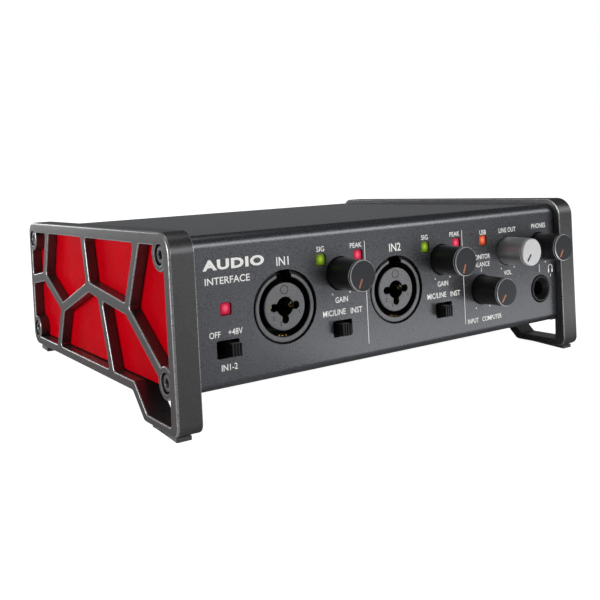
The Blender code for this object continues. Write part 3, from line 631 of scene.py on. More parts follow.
def shades(material, factor, dark, light, low=0.3, high=0.7):
    """Turns a factor into a colour between two shades."""
    ramp = add_node(material, "ValToRGB", fac=factor)
    set_stops(ramp.color_ramp.elements, (low, high), (dark, light))
    return ramp.outputs["Color"]


def set_stops(elements, stops, tones):
    """Sets the stops of a colour ramp."""
    for element, stop, tone in zip(elements, stops, tones):
        element.position = stop
        element.color = (*tone, 1.0)


def spread(material, factor, low, high, start=0.3, end=0.7):
    """Turns a factor into a number between low and high."""
    stops = {"from_min": start, "from_max": end, "to_min": low, "to_max": high}
    return add_node(material, "MapRange", value=factor, **stops).outputs["Result"]


def blended(material, factor, first, second):
    """Mixes two colours by a factor."""
    made = material.node_tree.nodes.new("ShaderNodeMix")
    made.data_type = "RGBA"
    colours = [socket for socket in made.inputs if socket.type == "RGBA"]
    for socket, value in zip((made.inputs[0], *colours), (factor, first, second)):
        feed(material, socket, value)
    return next(socket for socket in made.outputs if socket.type == "RGBA")


def off_axis(material, tall=1.0):
    """The distance from the piece's own y axis in millimetres, with heights times tall."""
    flat = add_node(material, "Mapping", vector=place_on(material), scale=(1.0, 0.0, tall))
    distance = add_node(material, "VectorMath", vector=flat.outputs["Vector"])
    distance.operation = "LENGTH"
    return distance.outputs["Value"]


def finish(material, relief=None, strength=0.2, height=0.02, **sources):
    """Links sources into the shader's sockets by their words, and a relief into its
    normal. height is the relief's full height in millimetres."""
    shader = material.node_tree.nodes["Principled BSDF"]
    for words, source in sources.items():
        feed(material, shader.inputs[socket_name(words)], source)
    if relief:
        bump = add_node(material, "Bump", height=relief, strength=strength, distance=height * MM)
        feed(material, shader.inputs["Normal"], bump.outputs["Normal"])
    return material


def grained(made, tones, noise, gloss, relief, clouds=None):
    """Gives a material one fine noise for its colour, roughness and relief. tones, noise
    and gloss are what shades, grain and spread take: the dark and light shade, the spots'
    size and detail, the least and most roughness. relief is the bump's strength and height.
    clouds adds broad patches: their size and detail, their least and most, their tone."""
    spots = grain(made, *noise)
    colour = shades(made, spots, *tones)
    if clouds:
        size, detail, least, most, tone = clouds
        patches = spread(made, grain(made, size, detail), least, most)
        colour = blended(made, patches, colour, (*tone, 1.0))
    return finish(made, spots, *relief, base_color=colour, roughness=spread(made, spots, *gloss))


def around(roughness):
    """The least and most roughness of a skin that varies a little about one value."""
    return roughness - 0.06, roughness + 0.08


def case_paint(name):
    """Fine satin metallic paint, dark blue-grey."""
    tones = ((0.128, 0.130, 0.140), (0.198, 0.202, 0.217), 0.32, 0.68)
    clouds = (26.0, 3.0, 0.0, 0.25, (0.165, 0.168, 0.180))
    paint = new_material(name, 0.28, 0.85)
    return grained(paint, tones, (0.38, 2.0), (0.25, 0.35), (0.14, 0.012), clouds)


def cut_edge(name):
    """The sheet's bevelled edges, painted pale: a painted highlight for the light those edges catch."""
    tones = ((0.62, 0.62, 0.63), (0.85, 0.85, 0.86))
    return grained(new_material(name, 0.3, 0.35), tones, (0.9, 3.0), (0.2, 0.32), (0.1, 0.01))


def frame_casting(name):
    """Painted casting of the side frames, with a soft skin."""
    tones = ((0.10, 0.10, 0.103), (0.15, 0.15, 0.153))
    clouds = (18.0, 2.0, 0.2, 0.5, (0.125, 0.125, 0.128))
    casting = new_material(name, 0.36, 0.75)
    return grained(casting, tones, (0.6, 3.0), (0.31, 0.42), (0.25, 0.02), clouds)


def frame_edge(name):
    """The casting's rounded edges, painted lighter than its faces: a painted highlight for the light they catch.
    """
    tones = ((0.30, 0.30, 0.30), (0.48, 0.48, 0.475))
    return grained(new_material(name, 0.3, 0.6), tones, (0.7, 4.0), (0.25, 0.36), (0.1, 0.01))


def red_gloss(name):
    """Deep red glossy plastic, with the faint ripple of a moulded skin."""
    red = new_material(name, 0.3, 0.0, coat_weight=0.02, coat_roughness=0.1, specular_ior_level=0.01)
    ripple = grain(red, 9.0, 2.0)
    colour = shades(red, grain(red, 30.0, 2.0), (0.44, 0.0004, 0.005), (0.58, 0.0006, 0.007))
    return finish(red, ripple, 0.15, 0.06, base_color=colour, roughness=spread(red, ripple, 0.25, 0.36))


def screw_steel(name):
    """Blackened steel with fine marks of turning."""
    tones = ((0.16, 0.16, 0.165), (0.34, 0.34, 0.34))
    return grained(new_material(name, 0.3, 0.95), tones, (0.12, 2.0), (0.22, 0.4), (0.2, 0.01))


def foot_rubber(name):
    """Grey rubber with a dull, grainy skin."""
    tones = ((0.115, 0.115, 0.112), (0.165, 0.165, 0.16))
    return grained(new_material(name, 0.8), tones, (0.3, 4.0), (0.7, 0.9), (0.4, 0.03))


def plastic(name, dark, light, roughness, size=0.12, relief=0.25):
    """Moulded plastic with a spark-eroded skin."""
    made = new_material(name, roughness)
    return grained(made, (dark, light), (size, 3.0), around(roughness), (relief, 0.012))


def brushed(name, dark, light, roughness, metallic=0.95, size=0.09, stretch=NO_STRETCH):
    """Metal with fine marks, drawn out along one axis by stretch."""
    made = new_material(name, roughness, metallic)
    return grained(made, (dark, light), (size, 2.0, stretch), around(roughness), (0.12, 0.008))


def spun(name, dark, light, roughness, metallic=0.9):
    """Metal turned about the piece's own y axis: fine rings, and fine specks over them."""
    made = new_material(name, roughness, metallic)
    rings = add_node(made, "TexNoise", scale=20.0, detail=1.0)
    rings.noise_dimensions = "1D"
    feed(made, rings.inputs["W"], off_axis(made))
    mixed = add_node(made, "Mix", factor=0.5, a=rings.outputs["Fac"], b=grain(made, 0.1, 2.0))
    pattern = mixed.outputs["Result"]
    colour = shades(made, pattern, dark, light)
    gloss = spread(made, pattern, roughness - 0.05, roughness + 0.07)
    return finish(made, pattern, 0.1, 0.006, base_color=colour, roughness=gloss)


def paint_ink(name, dark, light, roughness=0.5, glow=0.0):
    """Printed or filled paint, slightly uneven. glow is painted light: the paint gives off its own
    colour as a painted glow, brighter than the lamps alone make it."""
    ink = new_material(name, roughness, emission_strength=glow)
    spots = grain(ink, 0.2, 3.0)
    colour = shades(ink, spots, dark, light)
    gloss = spread(ink, spots, roughness - 0.1, roughness + 0.1)
    return finish(ink, base_color=colour, emission_color=colour, roughness=gloss)


def lit_lens(name, rim, dark, middle_tone, strength):
    """A lit lens: the lamp behind it shows as a bright middle with a dark ring round it."""
    sheen = {"coat_weight": 0.15, "coat_roughness": 0.1, "specular_ior_level": 0.3}
    lens = new_material(name, 0.35, 0.0, emission_strength=strength, **sheen)
    distance = off_axis(lens, 0.85)
    ramp = add_node(lens, "ValToRGB", fac=spread(lens, distance, 0.0, 1.0, 0.0, LIGHT_SIZE))
    elements = ramp.color_ramp.elements
    elements.new(0.5)
    set_stops(elements, (0.08, 0.3, 0.52), (middle_tone, dark, rim))
    blur = spread(lens, grain(lens, 0.8, 2.0), 0.0, 0.5)
    glow = blended(lens, blur, ramp.outputs["Color"], (*dark, 1.0))
    return finish(lens, base_color=glow, emission_color=glow)


def circuit_board(name):
    """Green solder mask over copper tracks."""
    board = new_material(name, 0.35)
    tones = {
        "color1": (0.008, 0.10, 0.045, 1.0),
        "color2": (0.010, 0.12, 0.055, 1.0),
        "mortar": (0.03, 0.20, 0.09, 1.0),
    }
    tracks = add_node(board, "TexBrick", vector=place_on(board), scale=0.35, mortar_size=0.06, **tones)
    gloss = spread(board, grain(board, 1.5, 2.0), 0.3, 0.45)
    colour = tracks.outputs["Color"]
    return finish(board, tracks.outputs["Fac"], 0.2, 0.03, base_color=colour, roughness=gloss)


# Each finish: the function that makes it, and what that function is told.
FINISHES = {
    "case_paint": (case_paint,),
    # The sheet's pale edge finish is a painted highlight.
    "cut_edge": (cut_edge,),
    "frame_casting": (frame_casting,),
    # The casting's lighter edge finish is a painted highlight on its rounded edges.
    "frame_edge": (frame_edge,),
    "red_plate": (red_gloss,),
    "screw_steel": (screw_steel,),
    "foot_rubber": (foot_rubber,),
    "knob_black": (plastic, (0.009, 0.009, 0.010), (0.016, 0.016, 0.018), 0.36, 0.2, 0.15),
    "knob_silver": (brushed, (0.42, 0.42, 0.425), (0.55, 0.55, 0.555), 0.4, 0.7),
    "cap_graphite": (spun, (0.034, 0.036, 0.041), (0.062, 0.064, 0.071), 0.38, 0.6),
    "cap_silver": (spun, (0.72, 0.72, 0.72), (0.94, 0.94, 0.94), 0.42, 0.5),
    # The pale rim finish on the knob caps is a painted highlight.
    "bright_rim": (brushed, (0.72, 0.72, 0.73), (0.90, 0.90, 0.91), 0.3, 0.4),
    "black_plastic": (plastic, (0.006, 0.006, 0.007), (0.013, 0.013, 0.014), 0.42),
    "jack_face": (brushed, (0.20, 0.202, 0.208), (0.33, 0.332, 0.342), 0.5, 0.3, 0.4),
    "light_red": (lit_lens, (0.20, 0.002, 0.018), (0.52, 0.004, 0.045), (0.98, 0.12, 0.22), 0.6),
    "light_green": (lit_lens, (0.03, 0.06, 0.002), (0.14, 0.25, 0.003), (0.46, 0.64, 0.05), 0.5),
    "light_orange": (lit_lens, (0.24, 0.025, 0.008), (0.55, 0.07, 0.02), (0.98, 0.30, 0.14), 0.55),
    "circuit_board": (circuit_board,),
    "tin": (brushed, (0.52, 0.52, 0.50), (0.66, 0.66, 0.63), 0.3, 0.95, 0.09, (1.0, 6.0, 1.0)),
    "brass": (brushed, (0.55, 0.36, 0.10), (0.75, 0.52, 0.18), 0.25),
    "pointer_orange": (paint_ink, (0.48, 0.17, 0.08), (0.62, 0.25, 0.12), 0.4),
    "pointer_black": (paint_ink, (0.01, 0.01, 0.01), (0.025, 0.025, 0.025), 0.4),
    "moulded_mark": (paint_ink, (0.012, 0.012, 0.013), (0.03, 0.03, 0.032)),
    # The lettering's last number is a painted glow: the ink gives off light so that it reads brighter.
    "lettering": (paint_ink, (0.54, 0.54, 0.52), (0.70, 0.70, 0.68), 0.5, 0.75),
}
MATERIALS = {name: make(name, *told) for name, (make, *told) in FINISHES.items()}


def dress_cad_nodes():
    """Gives every CAD node its finish, since some of them stay as they are."""
    for part in frame["record"]["subparts"]:
        mesh = frame["nodes"][part["node"]].data
        mesh.materials.clear()
        mesh.materials.append(MATERIALS[part["material_slot"]])


# ==== side frames ====


def frame_outline():
    """The side frame's outer outline, with its short front leg."""
    leg = ((0.0, LEG_BOTTOM), (LEG_DEPTH, LEG_BOTTOM), (LEG_TOP_DEPTH, FRAME_BOTTOM))
    corners = corner_points((0.0, 0.0), *leg, (DEPTH, FRAME_BOTTOM), (DEPTH, 0.0))
    return rounded(corners, [7.0, 3.5, 3.0, 3.0, 6.0, 5.0], 6.0)


def cell_outline(junctions):
    """One opening of the web, with rounded corners and its screw boss left standing."""
    names = list(junctions)
    points = [Vector(WEB[n]) for n in names]
    if anticlockwise(points) is not points:
        names.reverse()
        points.reverse()
    along = zip(names, names[1:] + names[:1])
    ribs = [a.startswith("inner") or b.startswith("inner") for a, b in along]
    corners = moved_in(points, [RIB / 2 if rib else 0.0 for rib in ribs])
    outline = rounded(corners, [CELL_CORNER] * len(corners), 10.0)
    for seat in SCREW_SEATS:
        outline = bitten(outline, Vector((seat.y, seat.z)), BOSS_RADIUS)
    return outline


def plate_outline(grow, corner):
    """The red plate's outline, with every side moved out by grow."""
    wide = PLATE_HIGH.y - PLATE_LOW.y + 2 * grow
    high = PLATE_HIGH.z - PLATE_LOW.z + 2 * grow
    return rectangle(DEPTH / 2, (PLATE_LOW.z + PLATE_HIGH.z) / 2, wide, high, corner)


def tag_edges(bm, sign):
    """Gives the rounded edges of both faces the lighter edge finish, a painted highlight."""
    for face in bm.faces:
        lean = face.normal.x * sign
        height = face.calc_center_median().x * sign - FRAME_INNER
        outer = height > FRAME_THICK - OUTER_FILLET and LEAST_LEAN < lean < MOST_LEAN
        inner = height < INNER_FILLET and -MOST_LEAN < lean < -LEAST_LEAN
        if outer or inner:
            face.material_index = 1


def make_side_frame(side, sign):
    """A cast frame: rounded border, web of ribs, rebate for the plate, screw recesses."""
    place = side_plane(sign)
    top = FRAME_THICK
    border = fillet(0.0, -INNER_FILLET, 2) + fillet(top, OUTER_FILLET, 4)
    cell = [(0.0, 0.0)] + fillet(top, CELL_FILLET, 3)
    narrow = SHANK_HOLE_RADIUS - SCREW_RECESS_RADIUS
    seat_depth = top - SCREW_RECESS_DEPTH
    recess = [(0.0, narrow), (seat_depth, narrow), (seat_depth, 0.0)] + fillet(top, 0.2, 2)
    loops = [(frame_outline(), border)]
    loops += [(cell_outline(junctions), cell) for junctions in CELLS]
    loops += [(circle(seat.y, seat.z, SCREW_RECESS_RADIUS, 48), recess) for seat in SCREW_SEATS]
    rebate = prism(plate_outline(REBATE_ROOM, 2.0), -1.0, POCKET_FLOOR + GAP, place)
    bm = combined(slab(loops, place), rebate)
    bmesh.ops.recalc_face_normals(bm, faces=bm.faces)
    # The rounded edges take the second finish, a painted highlight.
    tag_edges(bm, sign)
    make_piece(f"{side}_casting", bm, ["frame_casting", "frame_edge"], f"side_frame_{side}")


def make_red_panel(side, sign):
    """The red tray behind the web: a plate with a shallow rim that faces the case."""
    place = side_plane(sign)
    rim = 1.6
    skin = 2.0
    edge = [(0.2, 0.0)] + fillet(POCKET_FLOOR, 0.4, 3)
    bm = slab([(plate_outline(0.0, 2.0), edge)], place)
    bm = combined(bm, prism(plate_outline(-rim, 1.0), -1.0, POCKET_FLOOR - skin, place))
    holes = bmesh.new()
    for seat in SCREW_SEATS:
        prism(circle(seat.y, seat.z, SHANK_HOLE_RADIUS, 24), -1.0, POCKET_FLOOR + 1.0, place, holes)
    make_piece(f"{side}_red_panel", combined(bm, holes), ["red_plate"], f"side_plate_{side}")


def screw_mesh():
    """A socket-head screw along y, with its head's top at y = 0."""
    head = 1.6
    shank = 13.0
    shank_radius = 1.25
    profile = [(0.0, 0.0), (SCREW_HEAD_RADIUS, 0.0), (SCREW_HEAD_RADIUS, head)]
    profile += [(shank_radius, head), (shank_radius, shank), (0.0, shank)]
    socket = prism(circle(0.0, 0.0, 1.5, 6), -1.0, 1.1, front_plane)
    bm = combined(turned(eased(profile, 0.35), 48), socket)
    return combined(bm, turned([(0.0, -0.6), (2.2, -0.6), (0.0, 1.4)], 48))


def make_screws(side, sign):
    """Four screws, sunk in the frame's recesses."""
    place = side_plane(sign)
    for number, seat in enumerate(SCREW_SEATS, start=1):
        bm = screw_mesh()
        for vert in bm.verts:
            vert.co = place(seat.y + vert.co.x, seat.z + vert.co.z, FRAME_THICK - SCREW_SINK - vert.co.y)
        make_piece(f"{side}_screw_{number}", bm, ["screw_steel"], f"screw_{side}_{number}", sharp=28.0)


def make_foot(end, side):
    """A rubber wedge with rounded edges under a side frame."""
    node = f"foot_{end}_{side}"
    low, high = case_box(node)
    ends = (low.y, high.y)
    near = [[p.z for p in corners_of(node) if abs(p.y - y) < 0.1] for y in ends]
    under = [(y, round(min(heights), 2)) for y, heights in zip(ends, near)]
    outline = corner_points(*under, (high.y, high.z), (low.y, high.z))
    levels = fillet(low.x, -FOOT_FILLET, 2) + fillet(high.x, FOOT_FILLET, 2)
    make_piece(f"{end}_{side}_foot", slab([(outline, levels)], profile_plane), ["foot_rubber"], node)


# ==== case ====


def case_profile(shrink=0.0, back=SHELL_HIGH.y):
    """The case's outline from the side, with bent front edges."""
    front = FACE_Y + shrink
    top = SHELL_HIGH.z - shrink
    bottom = SHELL_LOW.z + shrink
    corners = corner_points((front, top), (front, bottom), (back, bottom), (back, top))
    return rounded(corners, [TOP_BEND - shrink, BOTTOM_BEND - shrink, 0.0, 0.0], 6.0)


def front_cutouts():
    """The holes in the front of the case."""
    outlines = [circle(p.x, p.z, COMBO_HOLE, 128) for p in COMBOS.values()]
    outlines.append(circle(PHONES.x, PHONES.z, PHONES_HOLE, 96))
    outlines += [circle(p.x, p.z, KNOB_HOLE, 80) for p in map(pivot, KNOBS)]
    for name in SWITCHES:
        where = middle(f"switch_body_{name}")
        outlines.append(rectangle(where.x, where.z, SLOT_WIDTH, SLOT_HEIGHT, 0.6))
    for name in LIGHTS:
        where = middle(f"light_{name}")
        size = (LIGHT_SIZE + GAP, LIGHT_HEIGHT + GAP, LIGHT_CORNER + GAP / 2)
        outlines.append(rectangle(where.x, where.z - LIGHT_DROP, *size))
    bm = bmesh.new()
    for outline in outlines:
        prism(outline, FACE_Y - 2.0, FACE_Y + WALL + 2.0, front_plane, bm)
    return bm


def make_shell():
    """Front, top, sides and the front lip of the bottom, folded from one sheet."""
    half = SHELL_HIGH.x
    beyond = SHELL_HIGH.y + 5.0
    bm = prism(case_profile(), -half, half, profile_plane)
    bm = combined(bm, prism(case_profile(WALL, beyond), WALL - half, half - WALL, profile_plane))
    low = (WALL - half, LIP_END, SHELL_LOW.z - 5.0)
    bm = combined(bm, box(low, (half - WALL, beyond, SHELL_LOW.z + WALL + 1.0)))
    bm = combined(bm, front_cutouts())
    # The bevelled edges of the sheet take the second finish, a pale painted highlight.
    skins = ["case_paint", "cut_edge"]
    make_piece("panel_and_cover", bm, skins, "case_shell", bevel=0.2, bevel_skin=1)


def make_rear_panel():
    """The rear wall, with its openings for the sockets and a lock slot."""
    wide = REAR_HIGH.x - REAR_LOW.x
    high = REAR_HIGH.z - REAR_LOW.z
    outer = fillet(REAR_LOW.y, -0.1, 1) + fillet(REAR_HIGH.y, 0.15, 2)
    hole = [(REAR_LOW.y, 0.0)] + fillet(REAR_HIGH.y, 0.15, 2)
    loops = [(rectangle(0.0, (REAR_LOW.z + REAR_HIGH.z) / 2, wide, high, 0.8), outer)]
    loops += [(circle(p.x, p.z, LINE_OUT_RING + GAP, 64), hole) for p in LINE_OUTS]
    loops += [(circle(p.x, p.z, MIDI_BARREL + GAP, 80), hole) for p in MIDI]
    for where, width, height in ((USB, 9.0, 3.3), (POWER, 7.6, 2.9)):
        loops.append((rectangle(where.x, where.z, width + 2 * GAP, height + 2 * GAP, 1.2), hole))
    loops.append((rectangle(*LOCK_SLOT, 0.8), hole))
    make_piece("rear_cover", slab(loops, front_plane), ["case_paint"], "rear_panel")


# ==== combo inputs ====


def fillet_down(depth, radius, steps=3):
    """Levels that run towards smaller depths and end in a rounded edge at depth."""
    return [(2 * depth - d, shrink) for d, shrink in fillet(depth, radius, steps)]


def insert_outline(steps=180):
    """The opening in an insert: a round hole joined by three pin holes."""
    points = []
    for k in range(steps):
        angle = 2 * math.pi * k / steps
        reach = COMBO_CENTRE_HOLE
        for lobe in COMBO_PINS:
            off = math.sin(angle - lobe) * COMBO_PIN_CIRCLE
            ahead = math.cos(angle - lobe) * COMBO_PIN_CIRCLE
            if abs(off) < COMBO_PIN_HOLE and ahead > 0:
                reach = max(reach, ahead + math.sqrt(COMBO_PIN_HOLE**2 - off**2))
        points.append(arm_at(angle, reach))
    return points


def make_combo_housing(name, origin):
    """A combo input's housing: a keyed ring whose front carries a raised grey band."""
    front = FACE_Y + GAP
    flange = front + BAND_RISE
    block = FACE_Y + WALL + 0.6
    low, high = case_box(f"combo_housing_{name}")
    half = (high.x - low.x) / 2
    ring = turned(eased(rod(COMBO_RING, flange, block + 2.0), 0.3), 128)
    bm = combined(box((-half, block, -half), (half, COMBO_BACK, half)), ring, "UNION")
    levels = [(flange + 1.0, 0.0)] + fillet_down(front, 0.35)
    band = slab([(circle(0.0, -BAND_DROP, BAND_RADIUS, 128), levels)], front_plane)
    bm = combined(bm, band, "UNION")
    cavity = [
        (0.0, front - 2.0),
        (COMBO_GROOVE + COMBO_MOUTH, front - 2.0),
        (COMBO_GROOVE, front + 0.2),
        (COMBO_GROOVE, COMBO_FLOOR),
        (COMBO_CENTRE_HOLE, COMBO_FLOOR),
        (COMBO_CENTRE_HOLE, COMBO_BACK - 1.5),
        (0.0, COMBO_BACK - 1.5),
    ]
    bm = combined(bm, turned(cavity, 128))
    key_low = (-KEYWAY / 2, front - 2.0, COMBO_GROOVE - 2.0)
    bm = combined(bm, box(key_low, (KEYWAY / 2, KEY_END, COMBO_RING + 1.0)))
    tag_from(bm, front + 0.5)
    make_piece(f"{name}_housing", bm, COMBO_SKINS, f"combo_housing_{name}", origin=origin)


def make_combo_insert(name, origin, tip):
    """The round insert, with its jack hole and three pin holes in one opening."""
    floor = [(COMBO_FLOOR - GAP, 0.0)]
    outer = (circle(0.0, 0.0, COMBO_INSERT, 96), floor + fillet_down(tip, 0.4))
    bm = slab([outer, (insert_outline(), floor + fillet_down(tip, 0.15))], front_plane)
    tag_from(bm, tip + 1.2)
    make_piece(f"{name}_insert", bm, COMBO_SKINS, f"combo_insert_{name}", origin=origin)


def make_combo_marks(name, origin, tip):
    """The ring and the pin numbers moulded on an insert."""
    ring = [(1.3, tip + 0.02), (1.3, tip - 0.03), (1.55, tip - 0.03), (1.55, tip + 0.02)]
    bm = turned(ring, 40, (0.0, 5.6))
    for words, x, z in (("1", 5.6, -2.5), ("2", -4.6, -3.4), ("3", -1.9, -5.6)):
        add_words(bm, words, x, z, 1.4, depth=tip)
    bmesh.ops.remove_doubles(bm, verts=bm.verts, dist=WELD)
    marks = make_piece(f"{name}_moulded_marks", bm, ["moulded_mark"], origin=origin)
    marks.visible_shadow = False


def make_combo_contacts(name, origin, tip):
    """The pin contacts inside the holes, and the tip and ground contacts."""
    pins = bmesh.new()
    for lobe in COMBO_PINS:
        spot = arm_at(lobe, COMBO_PIN_CIRCLE + 0.2)
        profile = [(0.75, tip + 3.0), (0.75, tip + 9.0), (1.1, tip + 9.0), (1.1, tip + 3.0)]
        turned(profile, 20, tuple(spot), bm=pins)
    inner = COMBO_CENTRE_HOLE
    spring = box((inner - 0.6, tip + 0.9, 0.5), (inner - 0.3, tip + 7.0, 1.2))
    ground = bmesh.new()
    for x in (-2.4, -1.2, 0.3):
        low_z = -math.sqrt((COMBO_GROOVE - 0.05) ** 2 - x**2)
        box((x, tip + 1.2, low_z), (x + 0.7, tip + 5.0, low_z + 0.4), ground)
    shapes = {"pin_contacts": pins, "tip_contact": spring, "ground_contact": ground}
    for part, bm in shapes.items():
        metal = "tin" if bm is spring else "brass"
        make_piece(f"{name}_{part}", bm, [metal], origin=origin, bevel=0.08)


def make_combo(name, centre):
    """A combo input with everything that shows in it."""
    origin = (centre.x, 0.0, centre.z)
    tip = case_box(f"combo_insert_{name}")[0].y
    make_combo_housing(name, origin)
    make_combo_insert(name, origin, tip)
    make_combo_marks(name, origin, tip)
    make_combo_contacts(name, origin, tip)


# ==== knobs ====


def make_knob(name, pointer_degrees):
    """A knob, its cap whose edges carry a pale painted highlight, and the pointer filled with paint."""
    body = f"{name}_control"
    origin = pivot(name)
    silver = name == "line_out"
    tip, shaft, front, back = (y - FACE_Y for y in (KNOB_LOW.y, KNOB_HIGH.y, CAP_LOW.y, CAP_HIGH.y))
    base = KNOB_BACK - FACE_Y
    profile = [(0.0, tip), (KNOB_TIP, tip), (KNOB_BASE, base)]
    profile += [(SHAFT_RADIUS, base), (SHAFT_RADIUS, shaft), (0.0, shaft)]
    grip = "knob_silver" if silver else "knob_black"
    make_piece(f"{name}_grip", turned(eased(profile, 0.3)), [grip], f"knob_{name}", body, origin)

    rim = 0.28
    flange = 0.32
    profile = [(0.0, front), (KNOB_TIP - rim, front), (KNOB_TIP, front + rim)]
    profile += [(KNOB_TIP, back - flange), (KNOB_TIP, back), (0.0, back)]
    # The cap's front bevel and back edge take the pale rim finish, a painted highlight for the light those edges
    # catch.
    bm = turned(profile, tags=(0, 1, 0 if silver else 2, 1, 0))
    groove = pointer_outline(pointer_degrees, POINTER_HALF + 0.02)
    bm = combined(bm, prism(groove, front - 1.0, front + 0.2, front_plane))
    cap = "cap_silver" if silver else "cap_graphite"
    skins = [cap, "bright_rim", "knob_black"]
    make_piece(f"{name}_end_cap", bm, skins, f"cap_{name}", body, origin, sharp=20.0)

    outline = pointer_outline(pointer_degrees, POINTER_HALF)
    bm = prism(outline, front + 0.06, front + 0.19, front_plane)
    ink = "pointer_black" if silver else "pointer_orange"
    make_piece(f"{name}_pointer", bm, [ink], None, body, origin)


def pointer_outline(degrees, half):
    """The pointer on a cap: a bar with round ends."""
    angle = math.radians(degrees)
    start = arm_at(angle, 1.0)
    end = arm_at(angle, 4.45)
    across = arm_at(angle + math.pi / 2, half)
    corners = [start - across, end - across, end + across, start + across]
    return rounded(corners, [half * 0.9] * 4, 20.0)


# ==== switches and lights ====


def lever_outline(wide, low_y, high_y):
    """The lever from above: a block whose front end has finger grooves."""
    ridges = 4
    groove_y = low_y + 0.5
    ridge = wide / (2 * ridges - 1)
    points = [(wide / 2, high_y), (-wide / 2, high_y)]
    for k in range(ridges):
        left = -wide / 2 + 2 * k * ridge
        points += [(left, low_y), (left + ridge, low_y)]
        if k < ridges - 1:
            points += [(left + ridge, groove_y), (left + 2 * ridge, groove_y)]
    return corner_points(*points)


def make_switch(name):
    """A lever that slides in a slot."""
    node = f"switch_lever_{name}"
    low, high = case_box(node)
    centre = (low + high) / 2
    half = (high.z - low.z) / 2
    outline = lever_outline(high.x - low.x, low.y - FACE_Y, high.y - FACE_Y)
    bm = prism(outline, -half, half, level_plane)
    origin = (centre.x, FACE_Y, centre.z)
    # The lever's bevelled edges take the lighter cap finish, a painted highlight on its ridges.
    skins = ["knob_black", "cap_graphite"]
    make_piece(f"{name}_lever", bm, skins, node, f"{name}_slider", origin, bevel=0.15, bevel_skin=1)


def make_light(name, colour):
    """A light pipe with a softly domed lens, set just inside its hole."""
    node = f"light_{name}"
    low, high = case_box(node)
    centre = (low + high) / 2
    tip = FACE_Y + LENS_SINK
    outline = rectangle(0.0, -LIGHT_DROP, LIGHT_SIZE, LIGHT_HEIGHT, LIGHT_CORNER)
    levels = [(high.y, 0.0), (tip + 1.2, 0.0)] + fillet_down(tip, 0.5, 4)
    bm = slab([(outline, levels)], front_plane)
    tag_from(bm, tip + 1.2)
    skins = [f"light_{colour}", "black_plastic"]
    make_piece(f"{name}_lens", bm, skins, node, origin=(centre.x, 0.0, centre.z))


# ==== jacks ====


def jack_block(node, centre, start, end, barrel, ease, steps):
    """A jack's square body from start to end along y, joined to its round barrel."""
    low, high = case_box(node)
    corners = [(p.x - centre.x, y, p.z - centre.z) for p, y in ((low, start), (high, end))]
    return combined(box(*corners), turned(eased(barrel, ease), steps), "UNION")


def make_phones_jack():
    """The headphone jack: body, flared bushing, and its bore."""
    low, high = case_box("phones_jack")
    front = FACE_Y + WALL + 1.0
    lip = low.y
    barrel = rod(PHONES_RING, lip, front + 3.0)
    bm = jack_block("phones_jack", PHONES, front, high.y, barrel, 0.35, 96)
    bm = combined(bm, turned(rod(JACK_BORE, lip - 1.0, front + 22.0), 96))
    mouth = [(0.0, lip - 1.0), (PHONES_RING + 0.4, lip - 1.0), (PHONES_RING - 1.0, lip + 0.4)]
    mouth += [(JACK_BORE + 0.2, lip + 2.2), (0.0, lip + 2.2)]
    bm = combined(bm, turned(mouth, MOUTH_FACETS))
    make_piece("phones_bushing", bm, ["black_plastic"], "phones_jack", origin=(PHONES.x, 0.0, PHONES.z))


def make_line_out(number, centre):
    """A line-out jack at the back: a body, and a round bushing with its bore."""
    node = f"line_out_jack_{number}"
    low, high = case_box(node)
    barrel = rod(LINE_OUT_RING, SOCKET_BACK - 2.0, high.y)
    bm = jack_block(node, centre, low.y, SOCKET_BACK, barrel, 0.3, 64)
    bore = [(0.0, low.y + 2.0), (JACK_BORE, low.y + 2.0), (JACK_BORE, high.y - 0.5)]
    bore += [(JACK_BORE + 0.6, high.y + 0.1), (JACK_BORE + 0.6, high.y + 1.0), (0.0, high.y + 1.0)]
    bm = combined(bm, turned(bore, 64))
    make_piece(f"line_out_{number}_jack", bm, ["black_plastic"], node, origin=centre)


def make_midi(number, centre):
    """A five-pin round socket at the back."""
    node = f"midi_socket_{number}"
    low, high = case_box(node)
    end = high.y
    barrel = rod(MIDI_BARREL, SOCKET_BACK - 2.0, end)
    bm = jack_block(node, centre, low.y, SOCKET_BACK, barrel, 0.25, 96)
    core = 5.9
    wall = 6.9
    floor = end - 9.0
    recess = [(0.0, end - 1.6), (core, end - 1.6), (core, floor)]
    recess += [(wall, floor), (wall, end + 1.0), (0.0, end + 1.0)]
    bm = combined(bm, turned(recess, 96))
    pins = bmesh.new()
    for degrees in (0.0, 45.0, 90.0, 135.0, 180.0):
        spot = arm_at(math.radians(degrees), MIDI_PIN_CIRCLE)
        prism(circle(spot.x, spot.y, MIDI_PIN_HOLE, 24), floor, end, front_plane, pins)
    make_piece(f"midi_{number}_socket", combined(bm, pins), ["black_plastic"], node, origin=centre)


# ==== lettering ====


def add_words(bm, words, x, z, height, squeeze=0.8, weight=0.014, spacing=1.0, depth=FACE_Y):
    """Adds printed words to bm, centred on (x, z), with capitals of that height. weight
    thickens the strokes, as a share of the height."""
    curve = bpy.data.curves.new("words", "FONT")
    curve.body = words
    curve.align_x = "CENTER"
    curve.align_y = "CENTER"
    curve.size = height / CAPITAL_SHARE
    curve.resolution_u = 3
    curve.extrude = PRINT_RISE
    curve.offset = height * weight
    curve.space_character = spacing
    holder = new_object("words", curve)
    bpy.context.view_layer.update()
    start = len(bm.verts)
    mesh = bpy.data.meshes.new_from_object(holder)
    bm.from_mesh(mesh)
    bm.verts.ensure_lookup_table()
    for vert in bm.verts[start:]:
        vert.co = front_plane(x + vert.co.x * squeeze, z + vert.co.y, depth - vert.co.z)
    bpy.data.objects.remove(holder)
    bpy.data.meshes.remove(mesh)


def add_print(bm, outline):
    """Adds a printed shape."""
    prism(outline, FACE_Y - PRINT_RISE, FACE_Y + 0.01, front_plane, bm)


